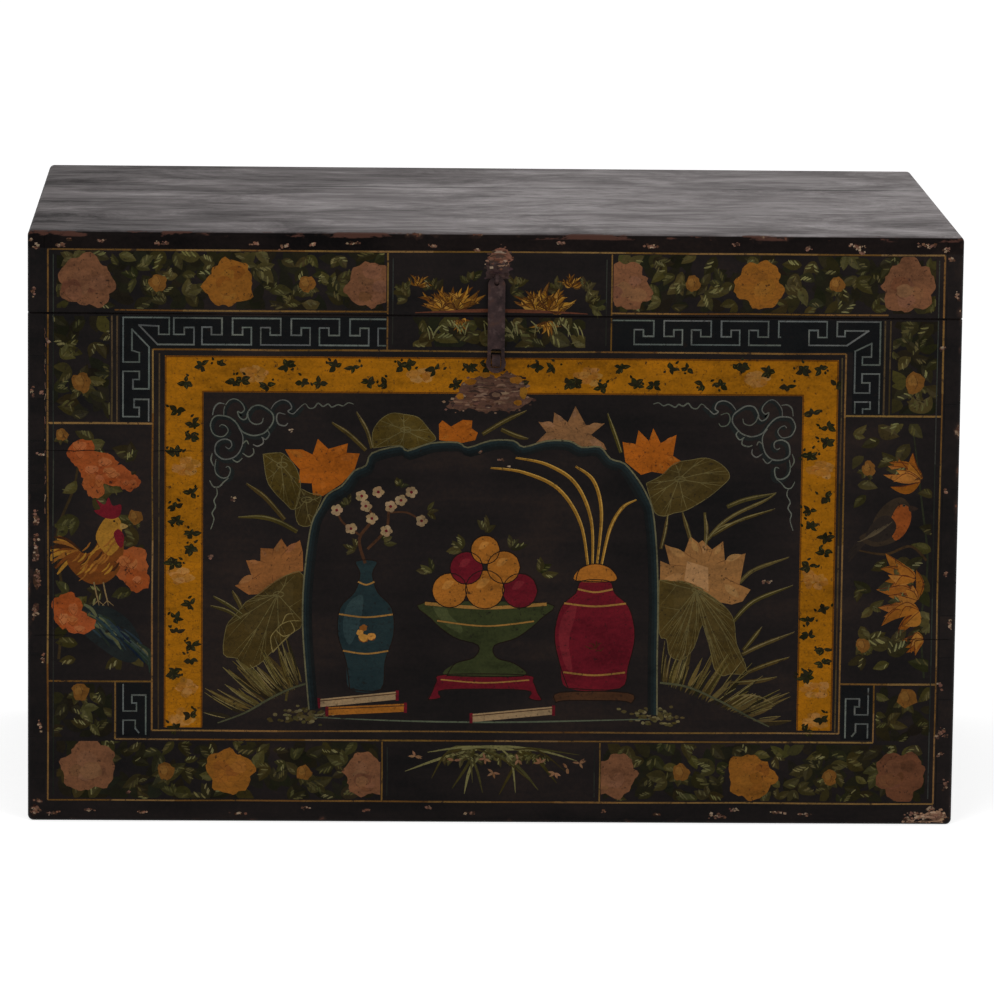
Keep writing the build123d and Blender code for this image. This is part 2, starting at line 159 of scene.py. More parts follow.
def makeLacquer(name, grain, gloss):
    material, tree, shader, coords = newMaterial(name)
    parts = addNode(tree, "ShaderNodeSeparateXYZ", {0: coords})
    x, y, z = parts.outputs[0], parts.outputs[1], parts.outputs[2]
    absX, absY = absolute(tree, x), absolute(tree, y)

    def onFace(depth):
        return step(tree, depth, lacquer["skin"], -lacquer["skinFade"])

    def thinLine(gap):
        return step(tree, gap, lacquer["lineWidth"], -lacquer["lineWidth"])

    def within(depth, limit):
        return step(tree, depth, limit, -lacquer["lineWidth"])

    # depth under each outer face of the chest
    fromSide = minus(tree, chest["halfWidth"], absX)
    fromFront = minus(tree, chest["halfDepth"], absY)
    fromTop = minus(tree, chest["top"], z)
    fromEnds = smaller(tree, fromTop, z)
    nearer = smaller(tree, fromSide, fromFront)
    farther = larger(tree, fromSide, fromFront)
    depth = smaller(tree, nearer, fromEnds)
    edge = larger(tree, nearer, smaller(tree, farther, fromEnds))
    seamGap = absolute(tree, minus(tree, z, chest["seam"]))
    # bare wood shows on the inner faces only
    bare = times(tree, step(tree, depth, lacquer["woodDepth"], 0.0006),
                 step(tree, seamGap, lacquer["seamRim"], 0.0004))

    # black ground with brown clouds and fine wiping marks along the grain
    along = stretch(tree, coords, grain)
    cloud = noiseOf(tree, coords, 5.5, 6, 0.6)
    wipe = noiseOf(tree, along, 42, 5, 0.62)
    speck = noiseOf(tree, coords, 260, 3, 0.6)
    tone = plus(tree, times(tree, cloud, 0.55), plus(tree, times(tree, wipe, 0.3), times(tree, speck, 0.15)))
    colour = ramp(tree, tone, [(0.40, lacquer["dark"]), (0.53, lacquer["mid"]), (0.68, lacquer["brown"])])

    # dust, wear and painted sheen on the top: the pale grey stands partly for light reflected off the
    # lacquer; in streaks along the planks, darker towards the left and the edges
    onTop = onFace(fromTop)
    streak = noiseOf(tree, stretch(tree, coords, (2.2, 13, 1)), 3.0, 8, 0.66, 0.4)
    fine = noiseOf(tree, stretch(tree, coords, (9, 110, 1)), 2.4, 5, 0.66, 0.2)
    patchy = noiseOf(tree, stretch(tree, coords, (1, 1.9, 1)), 7.0, 10, 0.76, 0.6)
    dustAndSheen = plus(tree, times(tree, streak, 0.18),
                plus(tree, times(tree, fine, 0.20), times(tree, patchy, 0.62)))
    darker = minus(tree, times(tree, smaller(tree, x, 0.05), 0.50), times(tree, absY, 0.42))
    dustAndSheen = plus(tree, scaled(tree, dustAndSheen, 2.2, -0.48), darker)
    # these greys are partly dust and partly painted reflection of the surroundings on the lacquer
    dustAndSheenColour = ramp(tree, dustAndSheen,
                      [(0.16, lacquer["dustDark"]), (0.50, lacquer["dustMid"]), (0.84, lacquer["dustLight"])])
    colour = blendColour(tree, onTop, colour, dustAndSheenColour)

    # joints between the planks of the top
    wobble = scaled(tree, noiseOf(tree, coords, 30, 3), 0.0012, -0.0006)
    rearGap, frontGap = (absolute(tree, plus(tree, wobble, minus(tree, y, chest[joint])))
                         for joint in ("rearJoint", "frontJoint"))
    broken = step(tree, noiseOf(tree, stretch(tree, coords, (3, 0.5, 1)), 3, 3), 0.42, 0.12)
    rearLine = times(tree, times(tree, onTop, broken), step(tree, rearGap, *lacquer["rearLine"]))
    frontLine = times(tree, times(tree, onTop, 0.35), thinLine(frontGap))
    # the finger joints at the corners show through as hairlines
    onFront, onSide = onFace(fromFront), onFace(fromSide)
    wallFromSide, wallFromFront = (absolute(tree, minus(tree, depthUnder, chest["wall"]))
                                   for depthUnder in (fromSide, fromFront))
    upright = larger(tree, times(tree, onFront, thinLine(wallFromSide)),
                     times(tree, onSide, thinLine(wallFromFront)))
    fingerGap = maths("PINGPONG", tree, z, chest["finger"])
    inCorner = larger(tree, times(tree, onFront, within(fromSide, chest["wall"])),
                      times(tree, onSide, within(fromFront, chest["wall"])))
    fingerEdge = thinLine(smaller(tree, fingerGap, minus(tree, chest["finger"], fingerGap)))
    belowSeam = step(tree, z, chest["seam"] - lacquer["fingersEnd"], -0.001)
    level = times(tree, times(tree, inCorner, fingerEdge), belowSeam)
    hairline = times(tree, larger(tree, upright, level), step(tree, noiseOf(tree, coords, 18, 3), 0.47, 0.06))
    hairline = larger(tree, times(tree, hairline, 0.75), larger(tree, rearLine, frontLine))
    colour = blendColour(tree, hairline, colour, screen(*lacquer["hairline"]))

    # chips: bare reddish wood at the edge itself, cream filler round it
    chipNoise = noiseOf(tree, coords, 46, 5, 0.62)
    region = noiseOf(tree, coords, 7.5, 2, 0.5)
    wear = minus(tree, plus(tree, chipNoise, times(tree, region, 0.55)),
                 times(tree, edge, lacquer["edgeWear"]))
    seamWear = minus(tree, plus(tree, chipNoise, times(tree, region, 0.4)),
                     times(tree, seamGap, lacquer["seamWear"]))
    chipMask = larger(tree, step(tree, wear, *lacquer["edgeChips"]),
                      step(tree, seamWear, *lacquer["seamChips"]))
    scuff = step(tree, wear, *lacquer["scuffs"])
    chipColour = ramp(tree, noiseOf(tree, coords, 120, 3),
                      [(0.42, lacquer["chipRed"]), (0.50, lacquer["chipWood"]), (0.60, lacquer["chipCream"])])
    colour = blendColour(tree, times(tree, scuff, 0.30), colour, screen(*lacquer["scuff"]))
    # the front edge of the lid is rubbed to reddish wood in long runs
    rubbedRun = step(tree, noiseOf(tree, stretch(tree, coords, (1, 3, 3)), 20, 5, 0.66), 0.535, 0.03)
    unevenTop = plus(tree, fromTop, times(tree, chipNoise, 0.004))
    topEdge = times(tree, step(tree, unevenTop, *lacquer["rubbedTop"]),
                    step(tree, fromFront, *lacquer["rubbedFront"]))
    edgeRub = times(tree, times(tree, topEdge, rubbedRun), 0.8)
    colour = blendColour(tree, edgeRub, colour, screen(*lacquer["rubbedEdge"]))
    colour = blendColour(tree, chipMask, colour, chipColour)

    # wood inside
    grainLines = noiseOf(tree, stretch(tree, coords, (grain[0] * 0.5, grain[1] * 0.5, 1)), 130, 7, 0.72, 0.3)
    figure = noiseOf(tree, along, 14, 4, 0.55, 0.8)
    grainLines = plus(tree, times(tree, grainLines, 0.65), times(tree, figure, 0.35))
    wood = ramp(tree, grainLines, [(0.38, lacquer["woodDark"]), (0.60, lacquer["woodLight"])])
    colour = blendColour(tree, bare, colour, wood)
    tree.links.new(colour, shader.inputs["Base Color"])

    rough = plus(tree, scaled(tree, wipe, 0.30, 0.24), times(tree, larger(tree, chipMask, bare), 0.35))
    rough = plus(tree, rough, times(tree, onTop, scaled(tree, dustAndSheen, -0.30, 0.27)))
    tree.links.new(rough, shader.inputs["Roughness"])
    shader.inputs["IOR"].default_value = gloss
    relief = plus(tree, times(tree, wipe, 0.35), times(tree, speck, 0.15))
    relief = minus(tree, relief, times(tree, chipMask, 1.2))
    relief = minus(tree, relief, times(tree, hairline, 1.4))
    addBump(tree, shader, relief, 0.55, 0.0004)
    return material


lengthwise, crosswise = (0.12, 1.0, 1.0), (1.0, 0.12, 1.0)
longLacquer = makeLacquer("longBoardLacquer", lengthwise, lacquer["gloss"])
endLacquer = makeLacquer("endBoardLacquer", crosswise, lacquer["gloss"])
topLacquer = makeLacquer("topBoardLacquer", lengthwise, lacquer["topGloss"])

# Bottom boards: plain wood
bottomWood = {"light": (150, 116, 80), "dark": (96, 68, 44)}
bottomMaterial, tree, shader, coords = newMaterial("bottomBoardWood")
grainLines = noiseOf(tree, stretch(tree, coords, lengthwise), 30, 6, 0.65, 0.4)
stains = noiseOf(tree, coords, 6, 4, 0.6)
colour = ramp(tree, scaled(tree, stains, 0.35, times(tree, grainLines, 0.7)),
              [(0.38, bottomWood["dark"]), (0.64, bottomWood["light"])])
tree.links.new(colour, shader.inputs["Base Color"])
tree.links.new(scaled(tree, grainLines, 0.3, 0.55), shader.inputs["Roughness"])
addBump(tree, shader, grainLines, 0.5, 0.0005)

# Wrought iron: dark purplish brown with rust and worn spots
iron = {"dark": (31, 23, 23), "mid": (50, 37, 36), "rust": (64, 44, 36), "worn": (82, 66, 62)}
ironMaterial, tree, shader, coords = newMaterial("hardwareIron")
blotch = noiseOf(tree, coords, 70, 5, 0.6)
pits = noiseOf(tree, coords, 420, 3, 0.6)
colour = ramp(tree, blotch, [(0.34, iron["dark"]), (0.54, iron["mid"]), (0.72, iron["rust"])])
polish = step(tree, noiseOf(tree, coords, 150, 3, 0.5), 0.60, 0.12)
colour = blendColour(tree, times(tree, polish, 0.45), colour, screen(*iron["worn"]))
tree.links.new(colour, shader.inputs["Base Color"])
shader.inputs["Metallic"].default_value = 0.45
shader.inputs["IOR"].default_value = 1.2
tree.links.new(scaled(tree, pits, 0.35, 0.38), shader.inputs["Roughness"])
addBump(tree, shader, plus(tree, pits, times(tree, blotch, 0.8)), 0.5, 0.0006)


# Paint: its colour comes from the strokes' own tint, broken by brush marks and wear
underPaint = (24, 19, 17)


def makePaint(name, metal, ior, rub):
    material, tree, shader, coords = newMaterial(name)
    tint = addNode(tree, "ShaderNodeAttribute", attribute_name="tint").outputs["Color"]
    brushMarks = noiseOf(tree, stretch(tree, coords, (0.35, 1, 1)), 120, 5, 0.62)
    fade = noiseOf(tree, coords, 16, 5, 0.6)
    grit = noiseOf(tree, coords, 420, 3, 0.6)
    tone = plus(tree, times(tree, brushMarks, 0.7), times(tree, fade, 0.8))
    tone = plus(tree, tone, scaled(tree, grit, 0.5, -0.45))
    shade = ramp(tree, tone, [(0.30, (0.60, 0.60, 0.62, 1)), (0.53, (1, 1, 1, 1)),
                              (0.82, (1.42, 1.36, 1.28, 1))])
    colour = blendColour(tree, 1.0, tint, shade, "MULTIPLY")
    # craquelure, then specks rubbed through to the black
    cells = addNode(tree, "ShaderNodeTexVoronoi", {"Vector": stretch(tree, coords, (0.7, 1, 1.5)),
                                                   "Scale": 150.0}, feature="DISTANCE_TO_EDGE")
    cracks = times(tree, step(tree, cells.outputs["Distance"], 0.035, -0.03), step(tree, fade, 0.52, 0.10))
    rubbed = step(tree, noiseOf(tree, coords, 95, 5, 0.7), rub, 0.03)
    flecks = step(tree, noiseOf(tree, coords, 260, 3, 0.7), rub - 0.025, 0.05)
    loss = larger(tree, times(tree, cracks, 0.22),
                  larger(tree, times(tree, rubbed, 0.8), times(tree, flecks, 0.6)))
    colour = blendColour(tree, loss, colour, screen(*underPaint))
    tree.links.new(colour, shader.inputs["Base Color"])
    tree.links.new(scaled(tree, brushMarks, 0.35, 0.38), shader.inputs["Roughness"])
    shader.inputs["Metallic"].default_value = metal
    shader.inputs["IOR"].default_value = ior
    relief = minus(tree, times(tree, brushMarks, 0.6), loss)
    addBump(tree, shader, relief, 0.45, 0.0003)
    return material


paintMaterial = makePaint("panelPaint", 0.0, 1.10, 0.665)
goldMaterial = makePaint("goldLinePaint", 0.2, 1.15, 0.64)
print("materials made")

# CAD nodes take their materials by slot
endBoards = ("left_lower_board", "left_upper_board", "right_lower_board", "right_upper_board",
             "lid_left_rail", "lid_right_rail")
for name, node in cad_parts.items():
    for slot in node.material_slots:
        if slot.material.name.startswith("painted_board"):
            onTop = "plank" in name
            slot.material = endLacquer if name in endBoards else topLacquer if onTop else longLacquer
        elif slot.material.name.startswith("bottom_wood"):
            slot.material = bottomMaterial
        else:
            slot.material = ironMaterial

# Paint sheets: thin closed slabs on the front, gathered by name and body
sheets = {}
seamZ, seamPlay = 498.0, 1.2
seamLimits = {"box": seamZ - seamPlay, "lid": seamZ + seamPlay}


def between(start, end, share=0.5):
    return (start[0] + (end[0] - start[0]) * share, start[1] + (end[1] - start[1]) * share)


def polar(x, z, angle, reach, squash=1.0):
    return (x + math.cos(angle) * reach, z + math.sin(angle) * reach * squash)


def clipOutline(outline, axis, limit, keepAbove):
    # cut an outline by a straight line across one axis
    sign = 1 if keepAbove else -1
    result = []
    for start, end in zip(outline, outline[1:] + outline[:1]):
        startIn = sign * (start[axis] - limit) >= 0
        endIn = sign * (end[axis] - limit) >= 0
        if startIn:
            result.append(start)
        if startIn != endIn:
            result.append(between(start, end, (limit - start[axis]) / (end[axis] - start[axis])))
    return result


def bodiesOf(outline):
    heights = [z for x, z in outline]
    if max(heights) <= seamLimits["box"]:
        return [("box", outline)]
    if min(heights) >= seamLimits["lid"]:
        return [("lid", outline)]
    return [("box", clipOutline(outline, 1, seamLimits["box"], False)),
            ("lid", clipOutline(outline, 1, seamLimits["lid"], True))]


def addPatch(sheet, outline, tint, lift=0.12, within=None):
    if within:
        left, right, bottom, top = within
        for axis, limit, above in ((0, left, True), (0, right, False), (1, bottom, True), (1, top, False)):
            outline = clipOutline(outline, axis, limit, above)
            if len(outline) < 3:
                return
    for body, part in bodiesOf(outline):
        if len(part) > 2:
            sheets.setdefault((sheet, body), []).append(("patch", part, tint, lift))


def curvePoint(before, start, end, after, t):
    # a smooth curve from start to end that heads for the points on either side
    return tuple(0.5 * (2 * start[k] + (end[k] - before[k]) * t
                        + (2 * before[k] - 5 * start[k] + 4 * end[k] - after[k]) * t * t
                        + (3 * start[k] - before[k] - 3 * end[k] + after[k]) * t ** 3) for k in (0, 1))


def smoothPath(points, steps):
    # a rounded line through the given points
    if len(points) < 3 or steps < 2:
        return list(points)
    ends = [points[0], *points, points[-1]]
    result = [curvePoint(*ends[index:index + 4], number / steps) for index in range(len(points) - 1)
              for number in range(steps)]
    return result + [points[-1]]


def curvedShape(sheet, points, tint, lift=0.18, within=None):
    # a closed rounded outline
    count = len(points)
    outline = [curvePoint(*(points[(index + offset) % count] for offset in (-1, 0, 1, 2)), number / 4)
               for index in range(count) for number in range(4)]
    addPatch(sheet, outline, tint, lift, within)


def addStroke(sheet, points, width, tint, lift=0.2, taper=(1.0, 1.0), steps=6, within=None):
    path = smoothPath(points, steps)
    if within:
        left, right, bottom, top = within
        path = [(min(max(x, left), right), min(max(z, bottom), top)) for x, z in path]
    # part the line where it crosses the seam
    runs, run, lastSide = [], [], None
    for before, point in zip(path[:1] + path, path):
        side = "lid" if point[1] >= seamZ else "box"
        if lastSide and side != lastSide:
            rise = point[1] - before[1]
            crosses = abs(rise) > 1e-6
            cuts = {body: (between(before, point, (limit - before[1]) / rise)[0], limit)
                    for body, limit in seamLimits.items()} if crosses else {}
            runs.append((lastSide, run + [cuts[lastSide]] if crosses else run))
            run = [cuts[side]] if crosses else []
        run.append(point)
        lastSide = side
    runs.append((lastSide, run))
    for side, part in runs:
        clean = [part[0]]
        for point in part[1:]:
            if math.dist(point, clean[-1]) > 0.05:
                clean.append(point)
        if len(clean) > 1:
            sheets.setdefault((sheet, side), []).append(("stroke", clean, tint, lift, width, taper))


def signedArea(outline):
    return 0.5 * sum(a[0] * b[1] - b[0] * a[1] for a, b in zip(outline, outline[1:] + outline[:1]))


def onFront(point, lift):
    # paint near an edge follows its rounding
    bend, side, top = chest["edge"] * 1000, chest["halfWidth"] * 1000, chest["top"] * 1000
    x = max(0.2 - side, min(side - 0.2, point[0]))
    z = max(0.2, min(top - 0.2, point[1]))
    past = max(0.0, abs(x) - side + bend, bend - z, z - top + bend)
    sunk = bend - math.sqrt(bend * bend - past * past)
    return (x / 1000, -chest["halfDepth"] - (lift - sunk) / 1000, z / 1000)


layering = {"under": -0.05, "first": 0.05, "step": 0.005, "cell": 10.0, "thinnest": 0.06}


def stackLevels(items):
    # strokes that cross get heights of their own: the one with more lift lies on top
    cells, levels = {}, {}
    for number in sorted(range(len(items)), key=lambda k: items[k][3]):
        item = items[number]
        lift, margin = item[3], item[4] / 2 if item[0] == "stroke" else 0.0
        low = [min(point[k] for point in item[1]) - margin - 0.1 for k in (0, 1)]
        high = [max(point[k] for point in item[1]) + margin + 0.1 for k in (0, 1)]
        columns, rows = (range(int(low[k] // layering["cell"]), int(high[k] // layering["cell"]) + 1)
                         for k in (0, 1))
        touched = [(column, row) for column in columns for row in rows]
        level, taken, met = 0, set(), set()
        for cell in touched:
            for other, otherLow, otherHigh, otherLift, otherLevel in cells.get(cell, ()):
                if other in met or any(otherLow[k] > high[k] or otherHigh[k] < low[k] for k in (0, 1)):
                    continue
                met.add(other)
                if otherLift < lift:
                    level = max(level, otherLevel + 1)
                else:
                    taken.add(otherLevel)
        while level in taken:
            level += 1
        levels[number] = level
        for cell in touched:
            cells.setdefault(cell, []).append((number, low, high, lift, level))
    return [layering["first"] + layering["step"] * levels[k] for k in range(len(items))]


def patchSlab(points, lift):
    if signedArea(points) < 0:
        points = points[::-1]
    count = len(points)
    corners = [onFront(point, height) for height in (lift, layering["under"]) for point in points]
    faces = [list(range(count)), list(reversed(range(count, 2 * count)))]
    faces += [[k, count + k, count + (k + 1) % count, (k + 1) % count] for k in range(count)]
    return corners, faces


def strokeSlab(points, lift, width, taper):
    corners, last = [], len(points) - 1
    for k, point in enumerate(points):
        before, after = points[max(k - 1, 0)], points[min(k + 1, last)]
        length = math.dist(before, after) or 1.0
        swell = 1.0
        for end, share in zip(taper, (k / last, 1 - k / last)):
            swell *= min(1.0, end + (1 - end) * min(1, share * 3))
        half = max(width * swell / 2, layering["thinnest"])
        normal = (-(after[1] - before[1]) / length * half, (after[0] - before[0]) / length * half)
        sides = [(point[0] + sign * normal[0], point[1] + sign * normal[1]) for sign in (1, -1)]
        corners += [onFront(side, lift) for side in sides]
        corners += [onFront(side, layering["under"]) for side in reversed(sides)]
    faces = [[4 * k + s, 4 * k + (s + 1) % 4, 4 * k + 4 + (s + 1) % 4, 4 * k + 4 + s] for k in range(last)
             for s in range(4)]
    return corners, faces + [[3, 2, 1, 0], [4 * last + s for s in range(4)]]


def buildSheet(name, body, items, heights, material):
    corners, faces, tints = [], [], []
    for (kind, points, tint, _, *strokeShape), height in zip(items, heights):
        newCorners, newFaces = (strokeSlab if kind == "stroke" else patchSlab)(points, height, *strokeShape)
        faces += [[len(corners) + k for k in face] for face in newFaces]
        corners += newCorners
        tints += [screen(*tint)] * sum(len(face) for face in newFaces)
    mesh = bpy.data.meshes.new(name)
    mesh.from_pydata(corners, [], faces)
    layer = mesh.color_attributes.new("tint", "FLOAT_COLOR", "CORNER")
    layer.data.foreach_set("color", [channel for tint in tints for channel in tint])
    mesh.materials.append(material)
    piece = bpy.data.objects.new(name, mesh)
    bpy.context.scene.collection.objects.link(piece)
    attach(piece, body)


# Shapes that the painter repeats
def jitter(rng, colour, amount=6):
    change = rng.uniform(-amount, amount)
    return tuple(max(0, min(255, value + change + rng.uniform(-2, 2))) for value in colour)


def blobOutline(x, z, wide, high, lobes, depth, rng, points=5):
    start = rng.uniform(0, math.tau)
    reach = [rng.uniform(1 - depth, 1 + depth * 0.6) for lobe in range(lobes)]
    outline = []
    for lobe in range(lobes):
        for part in range(points):
            share = part / points
            angle = start + math.tau * (lobe + share) / lobes
            size = reach[lobe] * (1 - share) + reach[(lobe + 1) % lobes] * share
            size *= 1 - depth * 0.9 + depth * 1.2 * math.sin(math.pi * share)
            outline.append(polar(x, z, angle, wide * size, high / wide))
    return outline


def leafOutline(base, tip, width, bend=0.0, points=7):
    length = math.dist(base, tip)
    along = ((tip[0] - base[0]) / length, (tip[1] - base[1]) / length)
    across = (-along[1], along[0])
    leftSide, rightSide = [], []
    for k in range(points + 1):
        t = k / points
        middle = bend * math.sin(math.pi * t)
        half = width / 2 * math.sin(math.pi * t ** 0.8) ** 0.9 if 0 < t < 1 else 0.0
        for side, offset in ((leftSide, middle + half), (rightSide, middle - half)):
            side.append((base[0] + along[0] * length * t + across[0] * offset,
                         base[1] + along[1] * length * t + across[1] * offset))
    return leftSide + rightSide[-2:0:-1]


def addLeaf(sheet, base, tip, width, fill, line, rng, lift=0.14, bend=None, within=None):
    # a dark leaf, lighter on one side, with a few short pale strokes of the brush
    bend = rng.uniform(-0.3, 0.3) * width if bend is None else bend
    addPatch(sheet, leafOutline(base, tip, width, bend), fill, lift, within)
    length = math.dist(base, tip)
    along = ((tip[0] - base[0]) / length, (tip[1] - base[1]) / length)
    across = (-along[1], along[0])

    def place(t, side):
        side += bend * math.sin(math.pi * t)
        return (base[0] + along[0] * length * t + across[0] * side,
                base[1] + along[1] * length * t + across[1] * side)
    if within and not (within[0] < tip[0] < within[1] and within[2] < tip[1] < within[3]):
        return
    lit = rng.choice((-1, 1))
    addPatch(sheet,
             leafOutline(place(0.15, lit * width * 0.08), place(0.92, lit * width * 0.04), width * 0.42,
                         lit * width * 0.16), tuple(value + 9 for value in fill), lift + 0.03, within)
    count = rng.choice((1, 2, 3, 3))
    for k in range(count):
        start = rng.uniform(0.12, 0.3) + 0.5 * k / count
        addStroke(sheet,
                  [place(start, 0), place(start + 0.14, lit * width * 0.2),
                   place(start + 0.24, lit * width * 0.42)], width * 0.10 + 0.35, line, lift + 0.05,
                  (0.6, 0.3), 2, within)


leafTones = {"dim": (24, 22, 13), "dark": (32, 29, 14), "mid": (44, 39, 18), "light": (56, 50, 24),
             "line": (72, 67, 38), "pale": (98, 93, 58)}


def leafSpray(sheet, x, z, count, size, seed, within, facing=None, spread=2.6):
    rng = random.Random(seed)
    middle = rng.uniform(0, math.tau) if facing is None else facing
    for k in range(count):
        angle = middle + spread * ((k + 0.5) / count - 0.5) * 1.6 + rng.uniform(-0.15, 0.15)
        reach = size * rng.uniform(0.75, 1.15)
        start = size * rng.uniform(0.02, 0.25)
        base, tip = polar(x, z, angle, start), polar(x, z, angle, reach)
        fill = jitter(rng, leafTones[rng.choice(("dark", "mid", "mid", "light"))], 5)
        line = leafTones["pale"] if rng.random() < 0.25 else leafTones["line"]
        addLeaf(sheet, base, tip, size * rng.uniform(0.32, 0.46), fill, jitter(rng, line, 6), rng, 0.13,
                None, within)


def foliage(sheet, within, flowers, spacing, size, seed, fillShare=0.86):
    # leaves all over a band, in clumps, clear of its flowers
    rng = random.Random(seed)
    leftEdge, rightEdge, low, high = within
    columns = max(1, int((rightEdge - leftEdge) / spacing))
    rows = max(1, int((high - low) / (spacing * 0.95)))
    if fillShare > 0.8:
        # dim leaves behind
        for k in range(int(columns * rows * 1.3)):
            x, z = rng.uniform(leftEdge, rightEdge), rng.uniform(low, high)
            angle, length = rng.uniform(0, math.pi), size * rng.uniform(0.8, 1.4)
            base, tip = polar(x, z, angle, -length / 2), polar(x, z, angle, length / 2)
            addPatch(sheet, leafOutline(base, tip, length * 0.5, 0, 6), jitter(rng, leafTones["dim"], 3),
                     0.10, within)
    for column in range(columns):
        for row in range(rows):
            x = leftEdge + (column + 0.5 + rng.uniform(-0.4, 0.4)) * (rightEdge - leftEdge) / columns
            z = low + (row + 0.5 + rng.uniform(-0.35, 0.3)) * (high - low) / rows
            if rng.random() > fillShare or any(math.dist((x, z), (fx, fz)) < radius * 0.86
                                               for fx, fz, radius in flowers):
                continue
            angle = rng.choice((0.5, 2.6, 3.8, 5.6)) + rng.uniform(-0.6, 0.6)
            length = size * rng.uniform(0.7, 1.2)
            base, tip = polar(x, z, angle, -length / 2), polar(x, z, angle, length / 2)
            fill = jitter(rng, leafTones[rng.choice(("dark", "dark", "mid", "mid", "light"))], 4)
            line = leafTones["pale"] if rng.random() < 0.35 else leafTones["line"]
            addLeaf(sheet, base, tip, length * rng.uniform(0.44, 0.62), fill, jitter(rng, line, 7), rng, 0.13,
                    None, within)
            if rng.random() < 0.5:
                tip = polar(*base, angle + rng.choice((-0.9, 0.9)), length * 0.8)
                addLeaf(sheet, base, tip, length * 0.42, fill, jitter(rng, line, 7), rng, 0.13, None, within)


def raggedOutline(x, z, wide, high, rng, points=30):
    # an uneven flower outline, with petals of different sizes
    swing = [(count, rng.uniform(0, math.tau), depth)
             for count, depth in ((2, 0.05), (3, 0.06), (5, 0.06), (8, 0.05), (13, 0.03))]
    outline = []
    for k in range(points):
        angle = math.tau * k / points
        waves = sum(depth * math.sin(count * angle + start) for count, start, depth in swing)
        reach = 0.97 + waves + rng.uniform(-0.035, 0.035)
        outline.append(polar(x, z, angle, wide * reach, high / wide))
    return outline


def paintPeony(sheet, x, z, radius, tones, seed, within=None):
    # a flat bloom; its petals hardly differ in tone
    rng = random.Random(seed)
    shadow, body, light, line = tones
    addPatch(sheet, raggedOutline(x, z, radius, radius * 0.94, rng, 48), body, 0.18, within)
    for k in range(6):
        angle = rng.uniform(0, math.tau)
        reach = radius * rng.uniform(0.15, 0.62)
        cx, cz = polar(x, z, angle, reach, 0.9)
        size = radius * rng.uniform(0.24, 0.40)
        addPatch(sheet, raggedOutline(cx, cz, size, size * 0.8, rng, 14),
                 jitter(rng, light if k % 3 else shadow, 3), 0.20, within)
        if k % 2:
            arc = [polar(cx, cz, angle + turn, size, 0.85) for turn in (-0.8, -0.2, 0.5)]
            addStroke(sheet, arc, 0.7, line, 0.24, (0.3, 0.3), 2, within)


def paintBud(sheet, x, z, radius, tones, seed, within=None):
    rng = random.Random(seed)
    shadow, body, light, line = tones
    lean = rng.uniform(-0.6, 0.6) - math.pi / 2
    for turn in (-0.7, 0.0, 0.7):
        base, tip = polar(x, z, lean + turn * 0.4, radius * 0.2), polar(x, z, lean + turn, radius * 1.75)
        addLeaf(sheet, base, tip, radius * 0.8, leafTones["mid"], leafTones["line"], rng, 0.15, None, within)
    addPatch(sheet, raggedOutline(x, z, radius, radius * 1.05, rng, 18), body, 0.2, within)
    addPatch(sheet, raggedOutline(x - radius * 0.2, z + radius * 0.2, radius * 0.5, radius * 0.55, rng, 12),
             light, 0.23, within)
    addStroke(sheet, [(x - radius * 0.1, z + radius * 0.8), (x + radius * 0.25, z), (x, z - radius * 0.7)],
              0.7, line, 0.25, (0.4, 0.4), 3, within)


dustyTones = ((94, 61, 41), (102, 67, 45), (107, 72, 50), (88, 57, 39))
ochreTones = ((106, 64, 22), (115, 72, 24), (119, 76, 27), (102, 62, 22))
budTones = ((84, 50, 18), (98, 64, 26), (110, 76, 34), (78, 50, 22))
redTones = ((78, 46, 30), (86, 53, 35), (92, 58, 39), (74, 44, 30))

# Gold and pale lines that divide the front
ruling = {"left": -430.5, "right": 431.5, "top": 560.0, "bottom": 21.0, "lineWidth": 1.6,
          "gold": (96, 70, 34), "dull": (56, 44, 24), "pale": (34, 36, 31)}
print("painting the lines")

rng = random.Random(4)


def handLine(start, end, width=ruling["lineWidth"], tint="gold"):
    # a ruled line with the hand's slight wander and change of weight
    length = math.dist(start, end)
    count = max(2, int(length / 60))
    points = []
    for k in range(count + 1):
        wander = 0.0 if k in (0, count) else rng.uniform(-0.35, 0.35)
        x, z = between(start, end, k / count)
        points.append((x + (wander if start[0] == end[0] else 0), z + (wander if start[1] == end[1] else 0)))
    for first, second in zip(points, points[1:]):
        addStroke("goldLines", [first, second], width * rng.uniform(0.85, 1.12),
                  jitter(rng, ruling[tint], 14), 0.22, (1, 1), 1)


def uprights(places, low, high, width=ruling["lineWidth"], tint="gold"):
    for x in places:
        handLine((x, low), (x, high), width, tint)


left, right, top, bottom = ruling["left"], ruling["right"], ruling["top"], ruling["bottom"]
handLine((left, top), (right, top))
handLine((left, bottom), (right, bottom))
uprights((left, right), bottom, top)
uprights((left + 5.2, right - 5.2), bottom + 5, top - 5, 1.0, "pale")
# under the lid band, left and right of the middle frame
handLine((-366.5, 501.6), (-104.6, 501.6))
handLine((110.9, 501.6), (378, 501.6))
uprights((-369.2, -364.0), 496, 391.5, 1.6, "dull")
uprights((375.2, 380.6), 496, 403, 1.6, "dull")
# round the ochre border
handLine((-329.8, 463.6), (338.0, 463.6))
uprights((-329.8, 338.0), 463.6, 90.4)
uprights((-323.4, 334.2), 459.8, 92, 1.4, "dull")
handLine((-329.8, 90.4), (338.0, 90.4))
handLine((-365.4, 81.6), (371.5, 81.6))
# side panels
for z in (391.3, 138.6):
    handLine((left, z), (-329.8, z), 1.8)
for z in (403.2, 139.6):
    handLine((338.0, z), (right, z), 1.8)
uprights((-365.4,), 138.6, 81.6)
uprights((371.5,), 139.6, 81.6)
